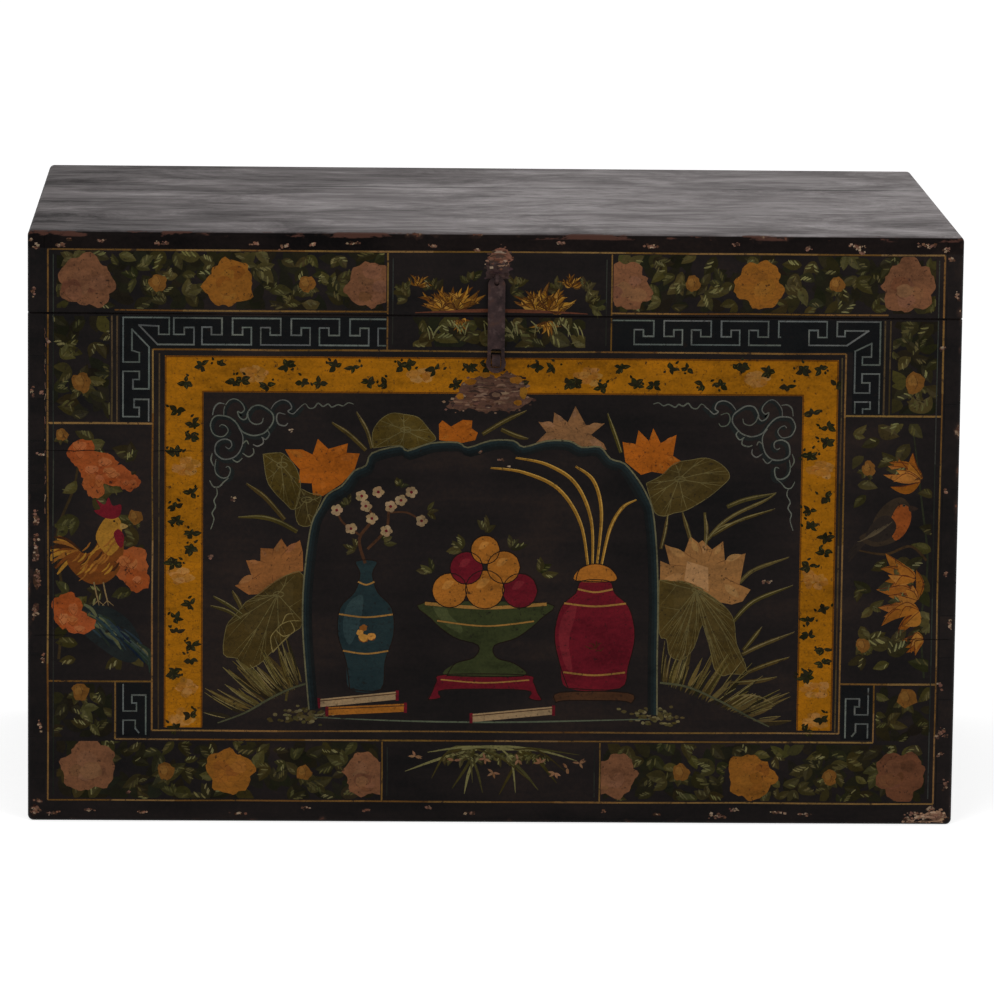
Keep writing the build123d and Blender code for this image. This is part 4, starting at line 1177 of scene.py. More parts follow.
def veinedLeaf(sheet, outline, hub, seed, fill, vein, every=2):
    # a lotus leaf: a rounded edge, pale veins from the stalk, forked towards the edge
    rng = random.Random(seed)
    curve = smoothPath(list(outline) + [outline[0]], 3)[:-1]
    addPatch(sheet, curve, fill, 0.15)
    inner = [(hub[0] + (x - hub[0]) * 0.62 + rng.uniform(-1, 1),
              hub[1] + (z - hub[1]) * 0.62 + rng.uniform(-1, 1)) for x, z in outline]
    addPatch(sheet, inner, tuple(value + 5 for value in fill), 0.16)
    addStroke(sheet, curve + curve[:1], 0.7, vein, 0.19, (1, 1), 1)
    for k in range(0, len(outline), every):
        x, z = outline[k]
        middle = ((hub[0] + x) / 2 + rng.uniform(-2, 2), (hub[1] + z) / 2 + rng.uniform(-2, 2))
        addStroke(sheet, [hub, middle, (x, z)], 0.8, vein, 0.19, (1, 0.3), 4)
        for neighbour in (outline[k - 1], outline[(k + 1) % len(outline)]):
            addStroke(sheet, [middle, between((x, z), neighbour)], 0.6, vein, 0.19, (1, 0.2), 1)
    ring = [(hub[0] + 5 * math.cos(a) + 1, hub[1] + 2.6 * math.sin(a))
            for a in [math.tau * k / 10 for k in range(11)]]
    addStroke(sheet, ring, 1.0, vein, 0.2, (1, 1), 2)


reedTones = ((34, 28, 14), (56, 46, 22), (78, 66, 34), (30, 26, 14), (64, 54, 28))
archPath = [
    (-177.5, 112), (-181, 150), (-184, 190), (-184, 225), (-181, 262), (-176, 295), (-168, 311),
    (-160.5, 323.7), (-147, 332), (-135.6, 346.4), (-124, 352), (-118.4, 364), (-92, 371), (-84, 366.5),
    (-62, 374), (-36, 375), (-26, 370), (-4, 377), (18, 377), (28, 371), (50, 377), (72, 377), (84, 371),
    (101.6, 371.4), (112, 360), (126, 355), (139.8, 338.4), (148, 324), (153.8, 308.1), (158, 270),
    (160, 220), (160, 160), (160.7, 108)]

sheet = "pondPainting"
within = inPanel
vein = (88, 78, 46)
veinedLeaf(sheet,
           [(-223.3, 362.2), (-212.4, 363.5), (-202.8, 362.2), (-190.7, 347.5), (-187.1, 327.9),
            (-193.1, 308.3), (-202.8, 315.7), (-212.4, 325.5), (-219.7, 337.7)], (-206, 352), 61,
           (60, 48, 16), vein)
veinedLeaf(sheet,
           [(-187.1, 329.2), (-177.4, 324.3), (-167, 321.8), (-171.3, 308.3), (-176.2, 293.6),
            (-188.3, 293.6), (-191.9, 308.3)], (-182, 318), 68, (50, 40, 16), vein)
veinedLeaf(sheet,
           [(-117, 369), (-118, 384), (-111, 396), (-100, 403), (-88, 402), (-74, 399), (-64, 388),
            (-57, 379), (-62, 375), (-84, 368), (-92, 372)], (-87, 387), 62, (66, 53, 19), vein)
veinedLeaf(sheet,
           [(146.8, 336.3), (161, 343.6), (174.3, 356), (189.7, 359.2), (204, 361.3), (216.3, 357.1),
            (225.5, 348.8), (227, 341.6), (220.4, 334.3), (207.1, 322.9), (186.7, 310.4), (174.3, 307.3),
            (165.2, 304.2), (156, 307.3), (150.8, 322)], (178.4, 340.5), 63, (60, 48, 20), vein)
veinedLeaf(sheet,
           [(-239.3, 217.2), (-249.9, 203.7), (-257.9, 192.9), (-260.5, 165.9), (-247.2, 161.8),
            (-240.6, 151.0), (-225.9, 156.4), (-215.3, 167.2), (-204.6, 176.7), (-194.0, 187.5),
            (-184, 198.3), (-184, 244.1), (-199.3, 244.1), (-215.3, 234.7), (-228.6, 223.9)], (-208.6, 225.2),
           64, (57, 45, 19), vein)
veinedLeaf(sheet,
           [(161, 241.2), (186.3, 239.8), (208.9, 227.7), (226.2, 214.2), (234.2, 200.7), (236.9, 179.0),
            (247.6, 151.3), (231.6, 149.3), (223.6, 147.3), (215.6, 154.7), (210.2, 179.0), (203.6, 198.0),
            (195.6, 175.0), (186.3, 164.2), (179.6, 162.8), (171.6, 168.2), (168.9, 183.1), (161.6, 189.2)],
           (196.9, 231.7), 65, (64, 51, 22), vein, 1)
# the turned-over edge of the left leaf
for points in ([(-213, 168), (-215, 182), (-210, 190), (-204, 196), (-196, 199), (-186, 199)],
               [(-204, 196), (-200, 205), (-193, 206)], [(-210, 190), (-203, 184), (-196, 186)],
               [(-196, 199), (-192, 190), (-196, 186)], [(-213, 168), (-204, 178), (-196, 186)]):
    addStroke(sheet, points, 1.0, (112, 98, 58), 0.22, (1, 0.6), 4)


def grassFan(bankStart, bankEnd, count, firstAngle, lastAngle, seed, limits):
    # broad pointed blades with a pale edge, fanning up from the bank
    rng = random.Random(seed)
    for k in range(count):
        share = (k + rng.uniform(0.2, 0.8)) / count
        x, z = between(bankStart, bankEnd, share)
        z -= 1
        angle = firstAngle + (lastAngle - firstAngle) * share + rng.uniform(-0.16, 0.16)
        length = rng.uniform(26, 56)
        tip = polar(x, z, angle, length)
        if not limits[0] < tip[0] < limits[1]:
            continue
        tint = jitter(rng, reedTones[rng.randrange(5)], 5)
        wide = rng.uniform(2.8, 4.8)
        addPatch(sheet, leafOutline((x, z), tip, wide, rng.uniform(-2, 2), 6), tint, 0.165, limits)
        side = (-math.sin(angle) * wide * 0.32, math.cos(angle) * wide * 0.32)
        addStroke(sheet, [(x + (tip[0] - x) * 0.25 + side[0], z + (tip[1] - z) * 0.25 + side[1]),
                          (x + (tip[0] - x) * 0.65 + side[0] * 0.8, z + (tip[1] - z) * 0.65 + side[1] * 0.8),
                          (tip[0], tip[1])], 0.9, jitter(rng, (92, 80, 46), 14), 0.2, (0.4, 0.5), 3, limits)


leftSide = (within[0], -183.0, within[2], within[3])
rightSide = (161.5, within[1], within[2], within[3])
grassFan((-262, 99), (-186, 134), 40, 3.0, 2.1, 91, leftSide)
grassFan((-216, 124), (-184, 140), 20, 2.4, 1.8, 92, leftSide)
grassFan((266, 99), (164, 140), 46, 0.15, 1.45, 93, rightSide)
reeds = (
    [(-239.6, 333.2), (-221.5, 320.4), (-202.2, 298.3)],
    [(-247.5, 300.2), (-225, 300.8), (-207, 295.9), (-190, 286.6)],
    [(-157.4, 393.3), (-140.5, 382.2), (-124.2, 366.7)], [(-133.9, 403.7), (-123.6, 386.5), (-118.4, 368.7)],
    [(-271.2, 222.6), (-256.5, 214.5), (-243.2, 205)], [(-273.8, 213.1), (-257.9, 209), (-244, 200)],
    [(-252.6, 228), (-247, 219), (-243.2, 210.4)],
    [(272.6, 327), (261.3, 319.7), (235.7, 307.4), (219.4, 296), (206, 280.6)],
    [(272.6, 327), (243, 320.8), (225.4, 313.6)], [(271.5, 311.4), (236.6, 300), (212, 285.7)],
    [(242.3, 300.7), (218.3, 292.6), (207.6, 281.7)], [(286.2, 264.2), (253, 252), (238.9, 239.2)],
    [(290.3, 236.4), (253, 221), (232.9, 200.7)], [(292.9, 190.5), (260.9, 177.7), (242.3, 168.3)],
    [(288.2, 165.5), (267.5, 158.8), (247.6, 150.6)], [(276.4, 145.9), (256.4, 142), (231, 139.8)],
    [(273.7, 118.5), (259, 126), (239, 127), (224.6, 119)], [(261, 195.3), (253, 184.5), (243.6, 172.4)],
    [(108.2, 403.9), (116.1, 383.2), (122, 366)], [(30, 406), (9, 396), (-12, 383)],
    [(32, 378.6), (20, 382), (6, 388)], [(204, 305), (206, 290), (204, 268)],
    [(168, 306), (166, 290), (162, 272)], [(182, 308), (188, 290), (192, 276)])
rng = random.Random(15)
for points in reeds:
    base, tip = points[-1], points[0]
    addStroke(sheet, points, rng.uniform(3.4, 4.6), jitter(rng, (62, 52, 24), 7), 0.16, (0.15, 0.9), 6,
              within)
    addStroke(sheet, [(x + 0.5, z + 0.8) for x, z in points], 1.0, jitter(rng, (98, 88, 56), 8), 0.19,
              (0.3, 0.4), 6, within)
for points in ([(204, 308), (205, 280), (202, 268)], [(-200, 120), (-196, 150), (-198, 168)]):
    addStroke(sheet, points, 2.4, (70, 60, 30), 0.16, (1, 0.9), 6, within)
orangeLotus = ((136, 72, 17), (140, 77, 22), (118, 60, 16))
paleLotus = ((107, 75, 47), (114, 82, 55), (90, 62, 38))
pinkLotus = ((118, 74, 38), (124, 80, 46), (98, 60, 32))
creamLotus = ((124, 86, 48), (136, 98, 58), (100, 66, 36))
lotuses = (
    (orangeLotus,
     [(-202.2, 367.1), (-185.8, 367.1), (-175.6, 362.2), (-170.7, 377.6), (-160.5, 367.8), (-141.7, 373.3),
      (-142.9, 364.1), (-130.3, 363.5), (-135.1, 347.5), (-147.2, 334.1), (-165.3, 321.8), (-175.0, 323.0),
      (-176.2, 334.1), (-188.9, 334.7), (-187.7, 347.5), (-196.7, 357.3)]),
    (orangeLotus,
     [(-54.1, 392.8), (-50.7, 396.3), (-42.5, 390.3), (-31.2, 397.0), (-22.0, 396.5), (-22.4, 388.7),
      (-16.5, 384.5), (-19.0, 377.3), (-31.2, 374.6), (-39.4, 374.5), (-53.7, 377.3)]),
    (paleLotus,
     [(41.7, 395.6), (56.0, 393.6), (57.0, 405.0), (70.3, 395.2), (77.4, 411.2), (87.7, 392.5),
      (106.1, 394.6), (92.8, 383.2), (105.0, 374.9), (108.1, 368.6), (86.6, 369.6), (62.1, 375.9),
      (39.6, 374.9), (49.8, 385.3)]),
    (orangeLotus,
     [(123.3, 376.6), (135.9, 373.5), (138.6, 388.0), (148.8, 377.6), (152.9, 390.1), (160.1, 375.6),
      (175.4, 383.8), (172.3, 363.1), (180.5, 357.9), (170.3, 352.8), (164.2, 345.5), (151.9, 347.6),
      (141.7, 344.4), (126.3, 356.9)]),
    (pinkLotus,
     [(-249.9, 233.3), (-232.6, 240.1), (-239.3, 258.3), (-225.3, 257.6), (-225.3, 270.4), (-212.6, 269.8),
      (-205.3, 279.9), (-198.7, 269.8), (-187.3, 278.5), (-184.4, 266.4), (-184.0, 248.2), (-199.3, 244.1),
      (-212.6, 236.0), (-225.9, 225.2), (-236.6, 224.6)]),
    (creamLotus,
     [(161.6, 260.1), (170.9, 256.3), (165.6, 276.3), (184.9, 268.9), (190.3, 284.4), (198.5, 278.0),
      (202.0, 280.7), (211.6, 271.6), (222.2, 279.7), (224.2, 260.8), (244.2, 268.2), (238.9, 237.1),
      (249.6, 232.4), (242.2, 220.9), (231.6, 217.6), (220.9, 219.6), (208.9, 227.7), (184.9, 239.8),
      (161.6, 241.2)]))
for number, (tones, outline) in enumerate(lotuses):
    paintLotus(sheet, outline, tones, 71 + number)
addPatch(sheet, [(187.6, 260.1), (208.2, 254.0), (208.9, 230.4), (195.6, 237.1), (184.9, 241.2)],
         (146, 108, 70), 0.24)
# banks and pebbles
addStroke(sheet, [(-266, 98), (-240, 108), (-216, 122), (-196, 132), (-178, 138)], 2.0, (62, 62, 44), 0.22,
          (0.6, 1), 5)
addStroke(sheet, [(163, 140), (190, 136), (222, 122), (248, 108), (270, 97)], 2.0, (62, 62, 44), 0.22,
          (1, 0.6), 5)
for middleX, seed in ((-180, 81), (158, 82)):
    rng = random.Random(seed)
    for k in range(70):
        x = middleX + rng.gauss(0, 15)
        z = 106 + rng.gauss(0, 4.6)
        if abs(x - middleX) < 40 and 96 < z < 120:
            addPatch(sheet, blobOutline(x, z, rng.uniform(1.6, 3.0), rng.uniform(1.1, 1.9), 4, 0.08, rng, 3),
                     jitter(rng, (62, 54, 30) if rng.random() < 0.7 else (92, 84, 56), 8), 0.17)
# the scalloped arch: a pale line with a teal band inside it
for inward, wide, tint, lift in ((5.0, 8.0, (18, 20, 20), 0.26), (3.4, 5.2, (20, 26, 27), 0.27),
                                 (1.9, 2.8, (25, 34, 35), 0.28)):
    addStroke(sheet,
              [(x - inward * (1 if x > 0 else -1) * (1.0 if z < 340 else 0.5), z - (inward if z > 322 else 0))
               for x, z in archPath], wide, tint, lift, (1, 1), 3)
addStroke(sheet, archPath, 1.5, (86, 82, 60), 0.30, (1, 1), 3)
print("central panel painted")

# Still life under the arch: a vase of blossom, a footed bowl of fruit, a covered jar and scrolls
sheet = "archStillLife"
ware = {"teal": (26, 38, 40), "tealLight": (38, 52, 53), "ochre": (134, 82, 28), "ochreLight": (148, 98, 42),
        "crimson": (84, 17, 26), "crimsonLight": (98, 28, 34), "green": (44, 48, 26),
        "greenLight": (58, 62, 36), "cream": (128, 106, 78), "brown": (60, 38, 24), "gold": (128, 92, 44),
        "outline": (24, 16, 12)}


def outlined(points, tint, lift, edge=None):
    curvedShape(sheet, points, tint, lift)
    path = list(points) + [points[0]]
    addStroke(sheet, path, 0.9, edge or ware["outline"], lift + 0.03, (1, 1), 4)


# left: a tall vase with a blossoming branch
outlined([(-138, 132), (-142, 160), (-150, 186), (-148, 212), (-134, 228), (-129, 246), (-133, 258),
          (-113, 258), (-117, 246), (-112, 228), (-98, 212), (-96, 186), (-104, 160), (-108, 132)],
         ware["teal"], 0.20)
curvedShape(sheet, [(-143, 210), (-136, 221), (-126, 224), (-128, 200), (-138, 176), (-145, 190)],
            ware["tealLight"], 0.225)
for z, half in ((170, 22), (206, 26), (238, 8)):
    addStroke(sheet, [(-123 - half, z), (-123, z - 3), (-123 + half, z)], 1.6, ware["gold"], 0.25, (1, 1), 4)
paintPeony(sheet, -122, 188, 13, ((110, 66, 26), (140, 90, 34), (158, 110, 50), (92, 50, 20)), 90)
for points, width in (([(-124, 256), (-130, 280), (-118, 300), (-128, 322)], 3.0),
                      ([(-122, 270), (-104, 290), (-100, 312), (-80, 326)], 2.6),
                      ([(-130, 284), (-146, 296), (-152, 308)], 2.0),
                      ([(-100, 306), (-84, 306), (-70, 298)], 1.8)):
    addStroke(sheet, points, width, ware["brown"], 0.2, (1, 0.4), 5)
rng = random.Random(91)
for x, z in ((-128, 322), (-118, 300), (-80, 326), (-100, 312), (-152, 308), (-70, 298), (-138, 290),
             (-104, 288), (-90, 318), (-124, 312), (-112, 326)):
    for k in range(5):
        angle = k * math.tau / 5 + rng.uniform(-0.2, 0.2)
        addPatch(sheet,
                 blobOutline(x + 3.2 * math.cos(angle), z + 3.2 * math.sin(angle), 3.0, 2.7, 4, 0.1, rng, 3),
                 jitter(rng, ware["cream"], 8), 0.23)
    addPatch(sheet, blobOutline(x, z, 1.5, 1.5, 4, 0.1, rng, 3), ware["crimson"], 0.26)
for x, z, angle in ((-140, 312, 2.2), (-94, 330, 1.0), (-66, 306, 0.2), (-132, 270, 2.8), (-108, 276, 0.6)):
    leafSpray(sheet, x, z, 3, 13, 930 + int(x), None, angle, 1.4)
# middle: a footed bowl heaped with fruit on a carved stand
outlined([(-44, 146), (-36, 158), (-18, 164), (-14, 176), (-38, 184), (-60, 202), (-66, 218), (52, 218),
          (46, 202), (24, 184), (2, 176), (4, 164), (22, 158), (30, 146)], ware["green"], 0.22)
curvedShape(sheet, [(-58, 214), (-48, 198), (-32, 188), (-30, 194), (-42, 206), (-46, 215)],
            ware["greenLight"], 0.245)
addStroke(sheet, [(-66, 217), (-7, 213), (52, 217)], 3.2, ware["gold"], 0.27, (1, 1), 6)
addStroke(sheet, [(-54, 200), (-7, 195), (40, 200)], 1.5, ware["gold"], 0.27, (1, 1), 6)
for x, z, radius, tint, glint in ((-42, 230, 17, "ochre", "ochreLight"),
                                  (26, 230, 17, "crimson", "crimsonLight"),
                                  (-8, 231, 19, "ochre", "ochreLight"),
                                  (-26, 252, 16, "crimson", "crimsonLight"),
                                  (10, 253, 16, "ochre", "ochreLight"), (-8, 270, 14, "ochre", "ochreLight")):
    curvedShape(sheet,
                [(x + radius * math.cos(a) * (1.02 if k % 2 else 0.97), z + radius * math.sin(a))
                 for k, a in enumerate([math.tau * k / 8 for k in range(8)])], ware[tint], 0.25 + z * 0.0001)
    curvedShape(sheet,
                [(x - radius * 0.45, z + radius * 0.1), (x - radius * 0.2, z + radius * 0.55),
                 (x + radius * 0.25, z + radius * 0.5), (x - radius * 0.1, z + radius * 0.1)], ware[glint],
                0.29 + z * 0.0001)
    addStroke(sheet,
              [(x + radius * math.cos(a), z + radius * math.sin(a))
               for a in [math.tau * k / 10 for k in range(11)]], 0.9, ware["outline"], 0.30 + z * 0.0001,
              (1, 1), 2)
for x, z, angle in ((-58, 246, 2.4), (44, 246, 0.8), (-8, 286, 1.5), (-30, 268, 2.4), (16, 270, 0.9)):
    leafSpray(sheet, x, z, 3, 17, 960 + int(x), None, angle, 1.3)
outlined([(-62, 122), (-58, 130), (-54, 140), (-46, 147), (32, 147), (40, 140), (44, 130), (48, 122),
          (36, 124), (32, 132), (-46, 132), (-50, 124)], ware["crimson"], 0.21)
addStroke(sheet, [(-50, 142), (-8, 139), (36, 142)], 1.4, ware["gold"], 0.25, (1, 1), 5)
# right: a covered jar, and long plumes rising behind it
for points in ([(92, 250), (84, 296), (62, 330), (28, 346), (-4, 350)],
               [(96, 252), (94, 300), (78, 336), (50, 354), (20, 360)],
               [(104, 252), (112, 290), (124, 312), (138, 320)],
               [(100, 254), (104, 306), (96, 338), (78, 352)]):
    addStroke(sheet, points, 3.4, (118, 84, 28), 0.19, (0.6, 0.3), 7)
    addStroke(sheet, [(x + 0.8, z + 0.9) for x, z in points], 1.1, (158, 122, 58), 0.22, (0.6, 0.3), 7)
outlined([(74, 134), (66, 156), (60, 186), (66, 214), (80, 228), (86, 240), (112, 240), (118, 228),
          (132, 214), (138, 186), (132, 156), (124, 134)], ware["crimson"], 0.22)
curvedShape(sheet, [(68, 206), (64, 184), (70, 158), (78, 150), (74, 180), (80, 206), (80, 218)],
            ware["crimsonLight"], 0.245)
outlined([(80, 240), (84, 252), (99, 257), (114, 252), (118, 240)], ware["ochre"], 0.24)
for z, half in ((150, 30), (218, 30), (232, 17)):
    addStroke(sheet, [(99 - half, z), (99, z - 3), (99 + half, z)], 1.8, ware["gold"], 0.27, (1, 1), 5)
fingerFlower(sheet, 99, 172, 22, yellowTones, 94, 1.5, 11)
leafSpray(sheet, 99, 172, 5, 16, 981, None, -math.pi / 2, 2.0)
outlined([(62, 120), (66, 130), (132, 130), (136, 120), (124, 122), (74, 122)], ware["brown"], 0.22)
# scrolls and books at the foot
for x0, z0, x1, z1, tint in ((-168, 118, -92, 126, "cream"), (-160, 110, -84, 114, "ochre"),
                             (-20, 104, 60, 112, "cream")):
    addStroke(sheet, [(x0, z0), (x1, z1)], 8.0, ware[tint], 0.22, (1, 1), 1)
    addStroke(sheet, [(x0, z0 + 2), (x1, z1 + 2)], 0.9, ware["brown"], 0.25, (1, 1), 1)
    for x, z in ((x0, z0), (x1, z1)):
        addStroke(sheet, [(x, z - 5), (x, z + 5)], 3.0, ware["crimson"], 0.24, (1, 1), 1)
addStroke(sheet, [(-172, 104), (-90, 101), (0, 100), (90, 102), (154, 104)], 1.6, (72, 78, 62), 0.18,
          (0.5, 0.5), 6)
print("still life painted")

# Loss: patches where lacquer and paint have come away, and small chips of filler
loss = {"wood": (78, 55, 42), "woodDark": (52, 36, 28), "cream": (132, 112, 92), "rose": (104, 74, 60)}
sheet = "worn"
rng = random.Random(33)


def insideOf(point, outline):
    crossings = 0
    for start, end in zip(outline, outline[1:] + outline[:1]):
        if (start[1] > point[1]) != (end[1] > point[1]):
            across = (end[0] - start[0]) * (point[1] - start[1]) / (end[1] - start[1])
            crossings += point[0] < start[0] + across
    return crossings % 2 == 1


def lossPatch(outline, tints, count, spread):
    # a worn patch: an uneven edge, streaks of wood and filler, and bits round it
    rough = []
    for start, end in zip(outline, outline[1:] + outline[:1]):
        for k in range(5):
            x, z = between(start, end, k / 5)
            rough.append((x + rng.uniform(-1.5, 1.5), z + rng.uniform(-1.0, 1.0)))
    addPatch(sheet, rough, tints[0], 0.26)
    xs, zs = [x for x, z in outline], [z for x, z in outline]
    for k in range(count):
        x, z = rng.uniform(min(xs), max(xs)), rng.uniform(min(zs), max(zs))
        reach = rng.uniform(1.2, 6)
        if insideOf((x - reach, z), rough) and insideOf((x + reach, z), rough):
            addStroke(sheet,
                      [(x - reach, z), (x, z + rng.uniform(-1, 1)), (x + reach, z + rng.uniform(-1.2, 1.2))],
                      rng.uniform(0.8, 2.6), jitter(rng, rng.choice(tints), 6), 0.28, (0.4, 0.3), 3)
    for x, z in rough[::2]:
        size = rng.uniform(0.5, 1.6)
        addPatch(sheet,
                 blobOutline(x + rng.gauss(0, spread), z + rng.gauss(0, spread * 0.7), size * 1.5, size, 4,
                             0.2, rng, 2), jitter(rng, rng.choice(tints[1:]), 10), 0.30)


woodTints = ((76, 53, 42), (96, 72, 57), (62, 43, 35), (84, 58, 46), (108, 86, 69), (50, 35, 29),
             (72, 50, 40))
lossPatch([(-48, 410), (-38, 420), (-33, 432), (-20, 438), (-8, 443), (2, 438), (11, 445), (22, 440),
           (31, 430), (26, 424), (37, 417), (26, 410), (14, 404), (2, 407), (-12, 404), (-24, 409),
           (-34, 406)], woodTints, 210, 2.4)
for x, z, wide, high in ((-24, 434, 6, 3), (-10, 441, 5, 3), (20, 436, 6, 4), (27, 424, 4, 6),
                         (22, 414, 4, 3), (-34, 420, 4, 3)):
    addPatch(sheet, raggedOutline(x, z, wide, high, rng, 14), jitter(rng, (116, 74, 20), 6), 0.31)
addPatch(sheet, raggedOutline(0, 421, 6.5, 4.4, rng, 16), (44, 30, 26), 0.32)
addPatch(sheet, raggedOutline(0.5, 421.6, 4.4, 2.4, rng, 14), (84, 64, 50), 0.33)
lossPatch([(-9, 548), (-8, 556), (-3, 562), (5, 564), (12, 561), (15, 553), (10, 546), (0, 545)],
          ((104, 70, 56), (122, 94, 76), (88, 58, 46), (140, 118, 98), (66, 48, 40)), 60, 2.0)
# rust from the hasp's eye has stained the lid as wide as the strap
lossPatch([(-9, 534), (-10, 548), (-6, 551), (10, 551), (13, 546), (12, 534)],
          ((56, 43, 41), (50, 38, 37), (62, 48, 45), (46, 34, 32)), 40, 1.0)
chips = (
    (-447, 569, 2, 3), (-441, 562, 4, 3), (-418, 564, 5, 3), (-410, 569, 3, 2), (-322, 566, 6, 2.2),
    (-62, 566, 4, 2), (-20, 562, 3, 2.5), (-232, 566, 5, 2), (-204, 564, 5, 3), (-176, 566, 3, 2),
    (346, 568, 6, 4), (352, 562, 3, 3), (415, 569, 9, 3), (432, 565, 5, 3), (438, 556, 3, 4),
    (-443, 300, 1.8, 9), (-442, 276, 2.2, 12), (-440, 244, 1.8, 10), (-438, 361, 5, 2), (-252, 318, 1.8, 2.6),
    (-274, 262, 2, 2), (-196, 386, 2, 2), (-12, 366, 4, 1.6), (6, 358, 3.2, 1.4), (14, 352, 2.4, 1.4),
    (266, 240, 5, 2), (-435, 160, 2, 5), (-438, 95, 2, 6), (437, 70, 3.4, 3), (439, 93, 4, 7),
    (434, 88, 3, 3), (436, 140, 1.6, 5), (439, 250, 1.6, 4), (437, 330, 1.8, 3), (-352, 29, 2, 1.2),
    (-180, 14, 4, 1.8), (-120, 12, 3, 1.6), (110, 12, 3, 2), (280, 12, 9, 2), (306, 10, 7, 2),
    (414, 11, 8, 2.4), (-390, 11, 6, 2), (-60, 15, 2, 3), (-430, 470, 1.6, 4), (-436, 420, 1.4, 3),
    (431, 470, 1.6, 4), (-443, 12, 5, 6), (-438, 20, 3, 3), (-425, 8, 6, 2.5), (-338, 9, 5, 1.6),
    (-246, 8, 7, 1.6), (-20, 10, 5, 1.6), (160, 9, 5, 1.6), (222, 8, 9, 3), (240, 14, 6, 2), (440, 9, 5, 4),
    (430, 16, 5, 3), (443, 40, 2, 7), (444, 200, 1.4, 8), (-445, 420, 1.4, 8), (-443, 205, 2.4, 8),
    (-444, 520, 1.6, 8), (444, 520, 1.6, 6), (-380, 569, 6, 2), (-140, 568, 6, 2), (60, 569, 5, 2),
    (150, 567, 6, 2.4), (230, 569, 5, 2), (300, 566, 4, 2.4))
chipTints = (loss["rose"], loss["rose"], loss["cream"], loss["wood"], loss["woodDark"])
for x, z, wide, high in chips:
    for k in range(int(4 + wide * high * 0.8)):
        size = rng.uniform(0.5, 1.5)
        addPatch(sheet,
                 blobOutline(x + rng.gauss(0, wide * 0.5), z + rng.gauss(0, high * 0.4), size * 1.3, size, 4,
                             0.25, rng, 2), jitter(rng, rng.choice(chipTints), 12), 0.25 + 0.002 * k)
lossPatch([(404, 2.6), (413, 7), (423, 11), (433, 14), (440, 15), (443, 8), (441, 2.6)],
          ((140, 108, 86), (152, 122, 98), (128, 94, 74), (160, 132, 108), (108, 78, 62)), 40, 1.4)
# larger worn places at the left edge and the lower corners
for x, z, wide, high in ((-441, 296, 2.6, 5), (-442, 262, 3.2, 7), (-441, 238, 3.6, 10), (-442, 210, 2.8, 5),
                         (-444, 10, 3.6, 5), (428, 8, 9, 2.6), (442, 10, 3, 3.2), (408, 6, 6, 2)):
    addPatch(sheet, raggedOutline(x, z, wide, high, rng, 16), jitter(rng, loss["woodDark"], 5), 0.24)
    for k in range(int(5 + wide * high * 0.5)):
        size = rng.uniform(0.5, 1.3)
        addPatch(sheet,
                 blobOutline(x + rng.uniform(-0.7, 0.7) * wide, z + rng.uniform(-0.8, 0.8) * high, size * 1.4,
                             size, 4, 0.25, rng, 2), jitter(rng, rng.choice(chipTints), 12), 0.26 + 0.001 * k)
# the paint is rubbed away in dashes along the left frame line
for k in range(26):
    z = 300 + k * 7.2 + rng.uniform(-3, 3)
    addStroke(sheet,
              [(-433 + rng.uniform(-0.8, 0.6), z), (-433 + rng.uniform(-0.8, 0.6), z + rng.uniform(2, 7))],
              rng.uniform(0.6, 1.3), jitter(rng, rng.choice(chipTints), 12), 0.27, (0.5, 0.5), 1)
# fine cracks over the board joints
for z, start, end in ((364.6, -444, -366), (364.4, -330, -290), (184.2, 396, 444), (184.0, -444, -412)):
    count = int((end - start) / 9)
    path = [(start + (end - start) * k / count, z + rng.uniform(-0.7, 0.7)) for k in range(count + 1)]
    addStroke(sheet, path, 0.8, (8, 6, 6), 0.27, (0.4, 0.4), 2)
print("wear painted")

allItems = [item for items in sheets.values() for item in items]
allHeights = stackLevels(allItems)
print("strokes:", len(allItems), "highest mm:", round(max(allHeights), 2))
place = 0
for (name, body), items in sheets.items():
    material = goldMaterial if name == "goldLines" else paintMaterial
    suffix = "OnLid" if body == "lid" else "OnBox"
    buildSheet(name + suffix, body, items, allHeights[place:place + len(items)], material)
    place += len(items)
print("paint sheets built:", len(sheets))

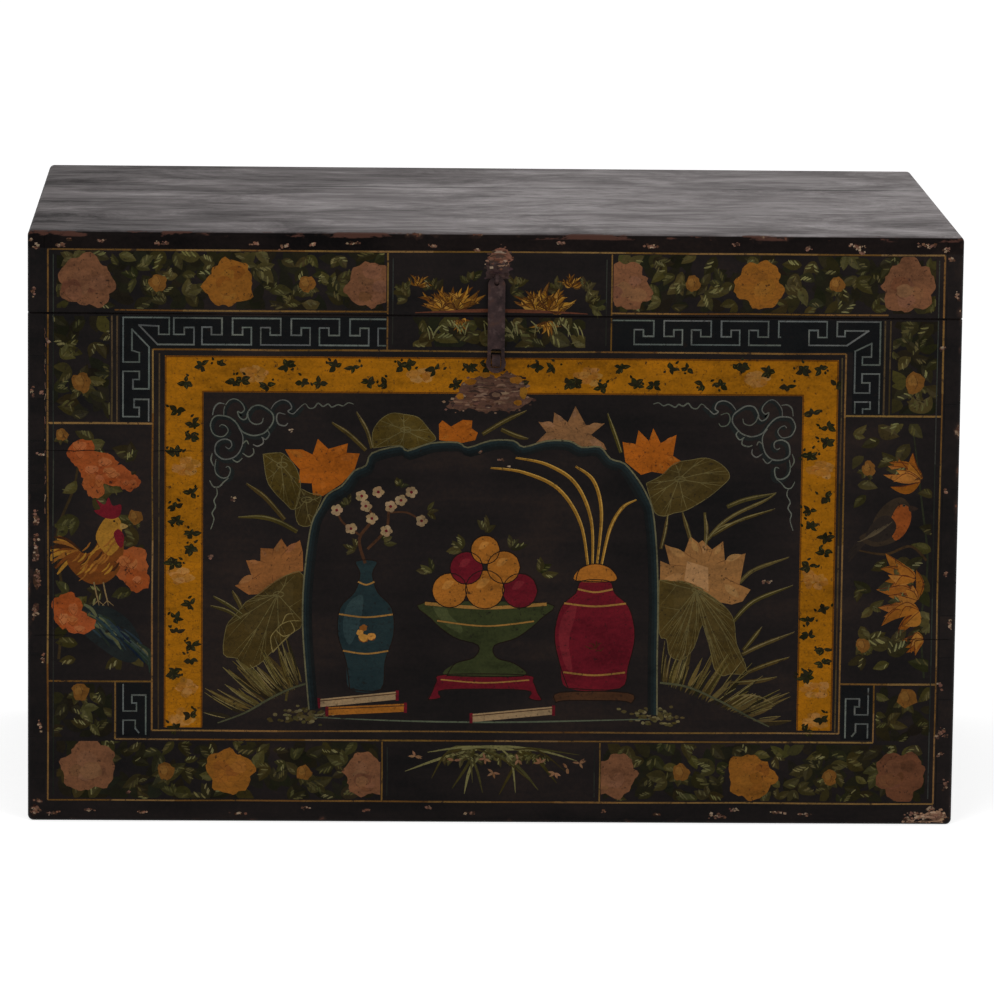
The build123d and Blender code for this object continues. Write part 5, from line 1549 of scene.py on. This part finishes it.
# Floor and light
studio = {"floorSize": 80.0, "floorTone": 0.8, "floorGlow": 0.62, "worldLight": 0.50,
          "white": (1, 1, 1, 1), "aim": (0, 0, 0.3), "lampSize": 3.0,
          "lamps": {"keyLamp": ((-2.6, -4.6, 3.6), 84.0), "fillLamp": ((3.2, -4.2, 2.6), 72.0)}}


def brighterToCamera(tree, plain, bright, output):
    # the camera, and reflected and refracted rays, see the brighter shader
    rays = tree.nodes.new("ShaderNodeLightPath").outputs
    seen = larger(tree, rays["Is Camera Ray"],
                  larger(tree, rays["Is Glossy Ray"], rays["Is Transmission Ray"]))
    pick = addNode(tree, "ShaderNodeMixShader", {0: seen, 1: plain.outputs[0], 2: bright.outputs[0]})
    addNode(tree, output, {0: pick.outputs[0]})


for thing in bpy.context.selected_objects:
    thing.select_set(False)
bpy.ops.mesh.primitive_plane_add(size=studio["floorSize"], location=(0, 10, 0))
floor = bpy.context.object
floor.name = "floor"
floorMaterial = bpy.data.materials.new("paleFloor")
floorMaterial.use_nodes = True
tree = floorMaterial.node_tree
tree.nodes.clear()
diffuse = addNode(tree, "ShaderNodeBsdfDiffuse", {"Color": (studio["floorTone"],) * 3 + (1,)})
glow = addNode(tree, "ShaderNodeEmission", {"Color": studio["white"], "Strength": studio["floorGlow"]})
both = addNode(tree, "ShaderNodeAddShader", {0: diffuse.outputs[0], 1: glow.outputs[0]})
brighterToCamera(tree, diffuse, both, "ShaderNodeOutputMaterial")
floor.data.materials.append(floorMaterial)

world = bpy.data.worlds.new("studio")
bpy.context.scene.world = world
world.use_nodes = True
tree = world.node_tree
tree.nodes.clear()
soft, white = (addNode(tree, "ShaderNodeBackground", {"Color": studio["white"], "Strength": strength})
               for strength in (studio["worldLight"], 1.0))
brighterToCamera(tree, soft, white, "ShaderNodeOutputWorld")

for name, (place, power) in studio["lamps"].items():
    data = bpy.data.lights.new(name, "AREA")
    data.shape = "SQUARE"
    data.size = studio["lampSize"]
    data.energy = power
    lamp = bpy.data.objects.new(name, data)
    lamp.location = place
    lamp.rotation_euler = (Vector(studio["aim"]) - Vector(place)).to_track_quat("-Z", "Y").to_euler()
    bpy.context.scene.collection.objects.link(lamp)
print("light set")
